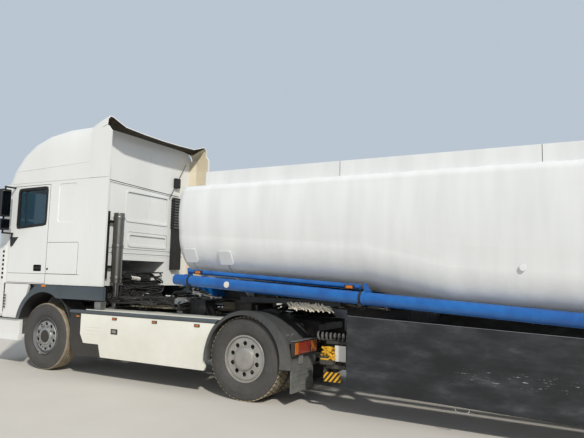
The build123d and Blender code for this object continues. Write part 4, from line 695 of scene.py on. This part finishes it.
# Columns: lens material, nearer and farther edge from the middle of the lorry
lenses = [(amber_lens, 1.135, 1.205), (lamp_red, 0.790, 1.130), (amber_lens, 0.635, 0.785)]
for side, hand in ((1, "left"), (-1, "right")):
    for number, (lens, inner_y, outer_y) in enumerate(lenses):
        work = bmesh.new()
        low, high = sorted((side * inner_y, side * outer_y))
        add_block(work, at(tail_x - 0.014, low, 0.628), at(tail_x + 0.001, high, 0.768), 0.005)
        added(f"tail_lens_{number}_{hand}", work, lens, "tractor_lamps")
    work = bmesh.new()
    low, high = sorted((side * 0.615, side * 1.222))
    add_block(work, at(tail_x - 0.022, low, 0.783), at(tail_x + 0.050, high, 0.790), 0.002)
    for y in (1.02, 1.15):
        add_rod(work, at(-4.365, side * y, 0.835), at(-4.385, side * y, 0.850), 0.012, sides=6)
    low, high = sorted((side * 0.95, side * 1.06))
    add_block(work, at(-4.493, low, 0.500), at(-4.483, high, 0.612), 0.002)
    added(f"tail_fittings_{hand}", work, box_steel, "rear_mudguards")
    work = bmesh.new()
    for z in (0.24, 0.30, 0.36, 0.42):
        low, high = sorted((side * 0.68, side * 1.17))
        add_block(work, at(-4.483, low, z), at(-4.477, high, z + 0.014), 0.002)
    added(f"flap_ribs_{hand}", work, flap_rubber, "rear_mudguards")

# Wheels: tyres with a moulded carcass and rows of tread blocks or ribs, on dusty painted disc wheels.
# Front and trailer discs show their nuts, and the drive wheels have pressed covers.
tyre_rubber = coated("dusty tyre rubber", ("#2a2a2b", "#373738"), "#8c8780", dust_z=(-0.9, 3.0),
                     amount=0.45,
                     roughness=0.8, scale=5.0, grain=0.3)
tread_rubber = coated("worn tread, tan dust", ("#6b6356", "#8a7f6c"), "#b3a68e", dust_z=(-0.9, 3.0),
                      amount=0.8,
                      roughness=0.9, scale=12.0, grain=0.5)
front_paint = coated("silver wheel paint", ("#8e9193", "#a2a5a7"), "#7d786d", dust_z=(-0.9, 2.0),
                     amount=0.35,
                     roughness=0.38, metallic=0.35, scale=9.0)
drive_paint = coated("dusty wheel paint", ("#9b9995", "#acaaa5"), "#8a8377", dust_z=(-0.9, 2.0), amount=0.6,
                     roughness=0.45, metallic=0.5, scale=9.0)
hub_grey = coated("oily hub casting", ("#2c2b29", "#3b3936"), "#6f675a", dust_z=(-0.9, 2.0), amount=0.5,
                  roughness=0.6, metallic=0.3, scale=14.0)
axle_z = 0.520


def tyre(name, x, tyres_y, half_width, lugged):
    """A tyre, or a twin pair, spun from its outline with tread blocks or ribs round it."""
    bead, edge = 0.2853, half_width - 0.038
    wall = [(bead, edge), (0.297, edge + 0.012), (0.303, edge + 0.014), (0.318, edge + 0.020), (0.324,
                                                                                                edge + 0.026),
            (0.352, edge + 0.034), (0.395, half_width), (0.425, half_width - 0.002), (0.430,
                                                                                      half_width - 0.006),
            (0.462, half_width - 0.010), (0.487, half_width - 0.018), (0.500, half_width - 0.026)]
    tread_y = half_width - 0.036
    if lugged:
        top = [(0.507, tread_y)]
    else:
        top = [(0.514, tread_y), (0.518, tread_y - 0.012)]
        for step in (0.62, 0.25):
            top += [(0.5185, tread_y * step + 0.010), (0.507, tread_y * step + 0.006)]
            top += [(0.507, tread_y * step - 0.006), (0.5185, tread_y * step - 0.010)]
    half = wall + top
    outline = half + [(radius, -y) for radius, y in reversed(half)]
    work = bmesh.new()
    for middle_y in tyres_y:
        verts = [work.verts.new((front_axle_x + x, middle_y + y, axle_z + radius)) for radius, y in outline]
        edges = [work.edges.new(pair) for pair in zip(verts, verts[1:] + verts[:1])]
        bmesh.ops.spin(work, geom=verts + edges, cent=at(x, middle_y, axle_z), axis=(0, 1, 0), steps=96,
                       angle=2 * math.pi, use_merge=True, use_duplicate=False)
        if lugged:
            for row, row_y in enumerate((-0.088, -0.030, 0.030, 0.088)):
                for step in range(54):
                    angle = 2 * math.pi * (step + 0.5 * (row % 2)) / 54
                    turn = Matrix.Rotation(angle, 4, "Y")
                    skew = Matrix.Rotation(math.radians(14 if row in (0, 2) else -14), 4, "Z")
                    out = turn @ Vector((0, 0, 0.5115))
                    middle = at(x, middle_y + row_y, axle_z) + out
                    half_size = Vector((0.021, 0.0255, 0.0075))
                    add_block(work, middle - half_size, middle + half_size, 0.0, turn @ skew)
    bmesh.ops.remove_doubles(work, verts=work.verts, dist=0.00002)
    bmesh.ops.recalc_face_normals(work, faces=work.faces)
    node = f"tyre_{name}"
    piece = smoothed(new_piece(f"{node}_finished", work, tyre_rubber), 32)
    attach(piece, frame["nodes"][node]["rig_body"])
    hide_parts(node)

    def on_tread(middle, normal):
        return math.hypot(middle.x - x, middle.z - axle_z) > 0.5045

    paint(piece, tread_rubber, on_tread)


def add_nuts(work, x, y, side):
    """Adds a ring of wheel nuts on washers, standing on a disc's face."""
    count, pitch = 10, 0.1675
    for step in range(count):
        angle = 2 * math.pi * step / count
        place = at(x + pitch * math.cos(angle), y, axle_z + pitch * math.sin(angle))
        add_rod(work, place, place + Vector((0, side * 0.005, 0)), 0.021, sides=16)
        add_rod(work, place, place + Vector((0, side * 0.030, 0)), 0.0165, sides=6)
        add_rod(work, place, place + Vector((0, side * 0.042, 0)), 0.010, sides=12, edge=0.002)


# Columns: name, place behind the front axle, middles of the tyres from the middle of the lorry,
# half width of a tyre, whether it has lugs
wheel_rows = [
    ("front", 0.0, (1.035,), 0.150, False),
    ("drive", -3.8, (1.085, 0.735), 0.150, True),
    ("trailer_1", -9.490, (1.020,), 0.185, False),
    ("trailer_2", -10.800, (1.020,), 0.185, False),
    ("trailer_3", -12.110, (1.020,), 0.185, False),
]
for name, x, tyres_y, half_width, lugged in wheel_rows:
    steel = front_paint if name == "front" else drive_paint
    for side, hand in ((1, "left"), (-1, "right")):
        tyre(f"{name}_{hand}", x, [side * y for y in tyres_y], half_width, lugged)
        rim = dressed(f"rim_{name}_{hand}", steel, edge=0.0015, segments=1)
        hub_radius = 0.098 if name == "front" else 0.139

        def on_hub(middle, normal, x=x, radius=hub_radius):
            return math.hypot(middle.x - x, middle.z - axle_z) < radius

        if name != "drive":
            paint(rim, hub_grey, on_hub)
            work = bmesh.new()
            disc_y = side * (tyres_y[0] + (0.106 if name == "front" else 0.062))
            add_nuts(work, x, disc_y, side)
            nut_steel = drive_paint if name == "front" else hub_grey
            added(f"nuts_{name}_{hand}", work, nut_steel, f"rim_{name}_{hand}")

# Tank: white enamel with faint streaks down its side, coaming joints and round bosses on its sides.
tank_white = coated("white tank enamel", ("#dcdfe0", "#e5e8e9"), "#acaaa2", dust_z=(1.0, 2.6), amount=0.20,
                    roughness=0.33, coat=0.3, scale=5.0, streak=7.0)
dressed("tank", tank_white, edge=0.003, sharp=24)
dressed("coaming", tank_white, edge=0.003)
work = bmesh.new()
for x in (-5.030, -7.240, -9.450, -11.660):
    for side in (1, -1):
        low, high = sorted((side * 1.140, side * 1.1440))
        add_block(work, at(x - 0.003, low, 2.765), at(x + 0.003, high, 2.943))
added("coaming_joints", work, joint_grey_and_slope_shade, "tank")
work = bmesh.new()
for side in (1, -1):
    low, high = sorted((side * 1.262, side * 1.2705))
    add_rod(work, at(-7.054, low, 1.700), at(-7.054, high, 1.700), 0.034, sides=32, edge=0.004)
added("tank_bosses", work, tank_white, "tank")

# Trailer frame, axles, hose tubes and panels: black steel under the tank, bright blue tubes with black
# clamps along each side, and scuffed black panels between the axles and the landing gear.
trailer_steel = dressed("trailer_frame", chassis_black, edge=0.002, segments=1)
paint(trailer_steel, tank_white, lambda middle,
      normal: middle.x > -3.60 and middle.z > 1.290 and abs(middle.y) > 0.49)
dressed("trailer_axles", axle_black, edge=0.002, segments=1)
dressed("trailer_mudguards", black_plastic, edge=0.002)
blue_enamel = coated("blue enamel", ("#034f98", "#0762ae"), "#3d6ea8", dust_z=(0.8, 1.8), amount=0.2,
                     roughness=0.33, coat=0.4, scale=6.0)
tubes = dressed("side_tubes", blue_enamel, edge=0.0015, segments=1)


def tube_z(x):
    """Height of the hose tubes' middle, which fall gently to the rear."""
    return 1.480 + 0.0548 * (x + 2.645)


tube_y, tube_radius = 1.200, 0.073
paint(tubes, chassis_black, lambda middle, normal: middle.z < tube_z(middle.x) - tube_radius - 0.012)
for side, hand in ((1, "left"), (-1, "right")):
    work = bmesh.new()
    for x in (-2.895, -5.343):
        z = tube_z(x)
        add_rod(work, at(x - 0.014, side * tube_y, z), at(x + 0.014, side * tube_y, z), tube_radius + 0.005,
                sides=40)
        low, high = sorted((side * (tube_y + 0.02), side * (tube_y + 0.068)))
        add_block(work, at(x - 0.022, low, z - 0.095), at(x + 0.022, high, z - 0.055), 0.006)
    added(f"tube_clamps_{hand}", work, near_black_and_gap_shade, "side_tubes")
    work = bmesh.new()
    for x in (-7.130, -7.210):
        z = tube_z(x)
        add_rod(work, at(x - 0.010, side * tube_y, z), at(x + 0.010, side * tube_y, z), tube_radius + 0.004,
                sides=40)
    added(f"tube_joints_{hand}", work, blue_enamel, "side_tubes")
    work = bmesh.new()
    for x, lift in ((-2.990, 0.118), (-5.180, 0.112)):
        z = tube_z(x) + lift
        low, high = sorted((side * 1.140, side * 1.180))
        add_block(work, at(x - 0.042, low, z - 0.017), at(x + 0.042, high, z + 0.017), 0.006)
    added(f"tube_lamps_{hand}", work, amber_lens, "side_tubes")
    work = bmesh.new()
    for x, lift in ((-2.990, 0.118), (-5.180, 0.112)):
        z = tube_z(x) + lift
        low, high = sorted((side * 1.140, side * 1.174))
        add_block(work, at(x - 0.062, low, z - 0.025), at(x + 0.062, high, z + 0.025), 0.004)
    added(f"tube_lamp_bases_{hand}", work, near_black_and_gap_shade, "side_tubes")
    work = bmesh.new()
    z = tube_z(-3.534)
    add_rod(work, at(-3.534, side * 1.262, z), at(-3.534, side * 1.278, z), 0.040, sides=32, edge=0.003)
    added(f"tube_reflector_{hand}", work, white_hose, "side_tubes")
panel_black, tree, shader = material_tree("scuffed black panel paint")
place = add_node(tree, "ShaderNodeTexCoord").outputs["Object"]
along = add_node(tree, "ShaderNodeMapping", {"Vector": place, "Scale": (1, 1, 3)}).outputs[0]
wear = add_node(tree, "ShaderNodeTexNoise", {"Vector": along, "Scale": 2.2, "Detail": 12.0,
                                             "Roughness": 0.6})
tone = ramp(tree, wear.outputs["Fac"], [(0.32, "#141517"), (0.45, "#1f2123"), (0.58, "#2f3235"), (0.68,
                                                                                                  "#45494b")])
scrape = add_node(tree, "ShaderNodeMapping", {"Vector": place, "Scale": (3, 1, 22)}).outputs[0]
flecks = add_node(tree, "ShaderNodeTexNoise", {"Vector": scrape, "Scale": 3.0, "Detail": 12.0,
                                               "Roughness": 0.75})
fleck_mask = add_node(tree, "ShaderNodeMapRange", {"Value": flecks.outputs["Fac"], "From Min": 0.60,
                                                   "From Max": 0.64})
where = add_node(tree, "ShaderNodeSeparateXYZ", {"Vector": place})
band = add_node(tree, "ShaderNodeMath", {0: where.outputs["Z"], 1: 0.60}, operation="SUBTRACT")
near_band = add_node(tree, "ShaderNodeMath", {0: band.outputs[0]}, operation="ABSOLUTE")
band_mask = add_node(tree, "ShaderNodeMapRange", {"Value": near_band.outputs[0], "From Min": 0.02,
                                                  "From Max": 0.09,
                                                  "To Min": 1.0, "To Max": 0.0})
behind = add_node(tree, "ShaderNodeMapRange", {"Value": where.outputs["X"], "From Min": front_axle_x - 6.7,
                                               "From Max": front_axle_x - 6.3, "To Min": 1.0,
                                               "To Max": 0.0})
marks = add_node(tree, "ShaderNodeMath", {0: fleck_mask.outputs[0], 1: band_mask.outputs[0]},
                 operation="MULTIPLY")
marks = add_node(tree, "ShaderNodeMath", {0: marks.outputs[0], 1: behind.outputs[0]}, operation="MULTIPLY")
mix = add_node(tree, "ShaderNodeMix", {"Factor": marks.outputs[0], 6: tone, 7: srgb("#c9cac8")},
               data_type="RGBA")
tree.links.new(mix.outputs[2], shader.inputs["Base Color"])
shader.inputs["Roughness"].default_value = 0.55
panels = dressed("side_panels", panel_black, edge=0.003)
edge_grey = coated("worn panel edge", ("#84878a", "#999c9e"), "#8a867c", dust_z=(0.1, 0.9), amount=0.3,
                   roughness=0.6, scale=9.0)
paint(panels, edge_grey, lambda middle, normal: normal.z > 0.7 or normal.x > 0.7)
for side, hand in ((1, "left"), (-1, "right")):
    low, high = sorted((side * 1.262, side * 1.268))
    grips = []
    for x in (-6.462, -8.40):
        z, out = 0.265, side * 1.268
        grips.append([at(x - 0.07, out - side * 0.01, z), at(x - 0.065, out + side * 0.002, z - 0.03),
                      at(x, out + side * 0.002, z - 0.035), at(x + 0.065, out + side * 0.002, z - 0.03),
                      at(x + 0.07, out - side * 0.01, z)])
    added_pipes(f"panel_grips_{hand}", grips, 0.006, edge_grey, "side_panels")

# Gear behind the drive wheels, on the trailer's left: yellow straps on a dark block, plates on a steel
# arm, a curled cable, and a bundle of white rope hung over the tray. Block and straps took the place of
# a chock, and the names wheel_chock and yellow chock plastic are from it.
chock_yellow = coated("yellow chock plastic", ("#c08c12", "#d9a81e"), "#8a7440", dust_z=(0.3, 1.0),
                      amount=0.4,
                      roughness=0.5, grain=0.3, scale=8.0)
plate_white = coated("white enamel plate", ("#cfcfca", "#dcdcd8"), "#9a917f", dust_z=(0.3, 1.0), amount=0.4,
                     roughness=0.5)
rope_white = coated("frayed white rope", ("#cfc8b8", "#ebe5d6"), "#8a806c", dust_z=(0.9, 1.6), amount=0.4,
                    roughness=0.9, scale=40.0, grain=0.8)
hazard_stripes, tree, shader = material_tree("hazard stripes")
place = add_node(tree, "ShaderNodeTexCoord").outputs["Object"]
slanted = add_node(tree, "ShaderNodeMapping", {"Vector": place, "Rotation": (0, math.radians(40),
                                                                             0)}).outputs[0]
bands = add_node(tree, "ShaderNodeTexWave", {"Vector": slanted, "Scale": 7.0, "Distortion": 0.3})
stripes = ramp(tree, bands.outputs["Fac"], [(0.49, "#1b1b1a"), (0.51, "#d9a416")])
tree.links.new(stripes, shader.inputs["Base Color"])
shader.inputs["Roughness"].default_value = 0.5
work = bmesh.new()
add_block(work, at(-5.230, 1.060, 0.500), at(-4.850, 1.110, 0.545), 0.006)
add_block(work, at(-4.880, 1.060, 0.380), at(-4.845, 1.110, 0.700), 0.006)
add_block(work, at(-5.230, 1.060, 0.780), at(-4.870, 1.100, 0.815), 0.006)
added("gear_arm", work, chassis_black, "side_panels")
work = bmesh.new()
chock = [(-4.820, 0.548), (-4.990, 0.548), (-4.985, 0.590), (-4.900, 0.640), (-4.845, 0.650), (-4.820,
                                                                                               0.640)]
face = work.faces.new([work.verts.new(at(x, 1.020, z)) for x, z in chock])
sides = bmesh.ops.extrude_face_region(work, geom=[face])["geom"]
bmesh.ops.translate(work, verts=[v for v in sides if isinstance(v, bmesh.types.BMVert)], vec=(0, 0.150, 0))
bmesh.ops.recalc_face_normals(work, faces=work.faces)
bmesh.ops.bevel(work, geom=work.edges[:], offset=0.008, segments=2, profile=0.5, affect="EDGES")
added("wheel_chock", work, chassis_black, "side_panels")
straps = tangle(at(-4.990, 1.040, 0.610), at(-4.800, 1.165, 0.735), 13, 7, 14)
added_pipes("yellow_straps", straps, 0.012, chock_yellow, "side_panels")
work = bmesh.new()
add_block(work, at(-5.070, 1.112, 0.350), at(-4.850, 1.118, 0.460), 0.002)
added("hazard_plate", work, hazard_stripes, "side_panels")
work = bmesh.new()
add_block(work, at(-5.130, 1.112, 0.590), at(-4.990, 1.118, 0.770), 0.002)
added("white_plate", work, plate_white, "side_panels")
# The curled cable is pale grey all over: painted highlight standing for the glints on a dark cable.
curls = helix(at(-4.700, 0.960, 0.850), at(-5.190, 0.960, 0.840), 0.045, 9)
added_pipes("curled_cable", [curls], 0.012, pale_grey_plastic, "side_panels")
pick = random.Random(11)
strands = []
for number in range(26):
    x = -4.36 - 0.0190 * number + pick.uniform(-0.012, 0.012)
    lean = pick.uniform(0.03, 0.15)
    out = pick.uniform(1.118, 1.126)
    strands.append([at(x + 0.02, out - 0.008, pick.uniform(1.222, 1.250)), at(x, out, 1.215),
                    at(x - lean * 0.6, out + 0.002, 1.190), at(x - lean, out - 0.004, pick.uniform(1.132,
                                                                                                   1.182))])
strands += tangle(at(-4.92, 1.060, 1.160), at(-4.36, 1.112, 1.214), 6, 9, 12)
added_pipes("rope_bundle", strands, 0.008, rope_white, "trailer_frame")
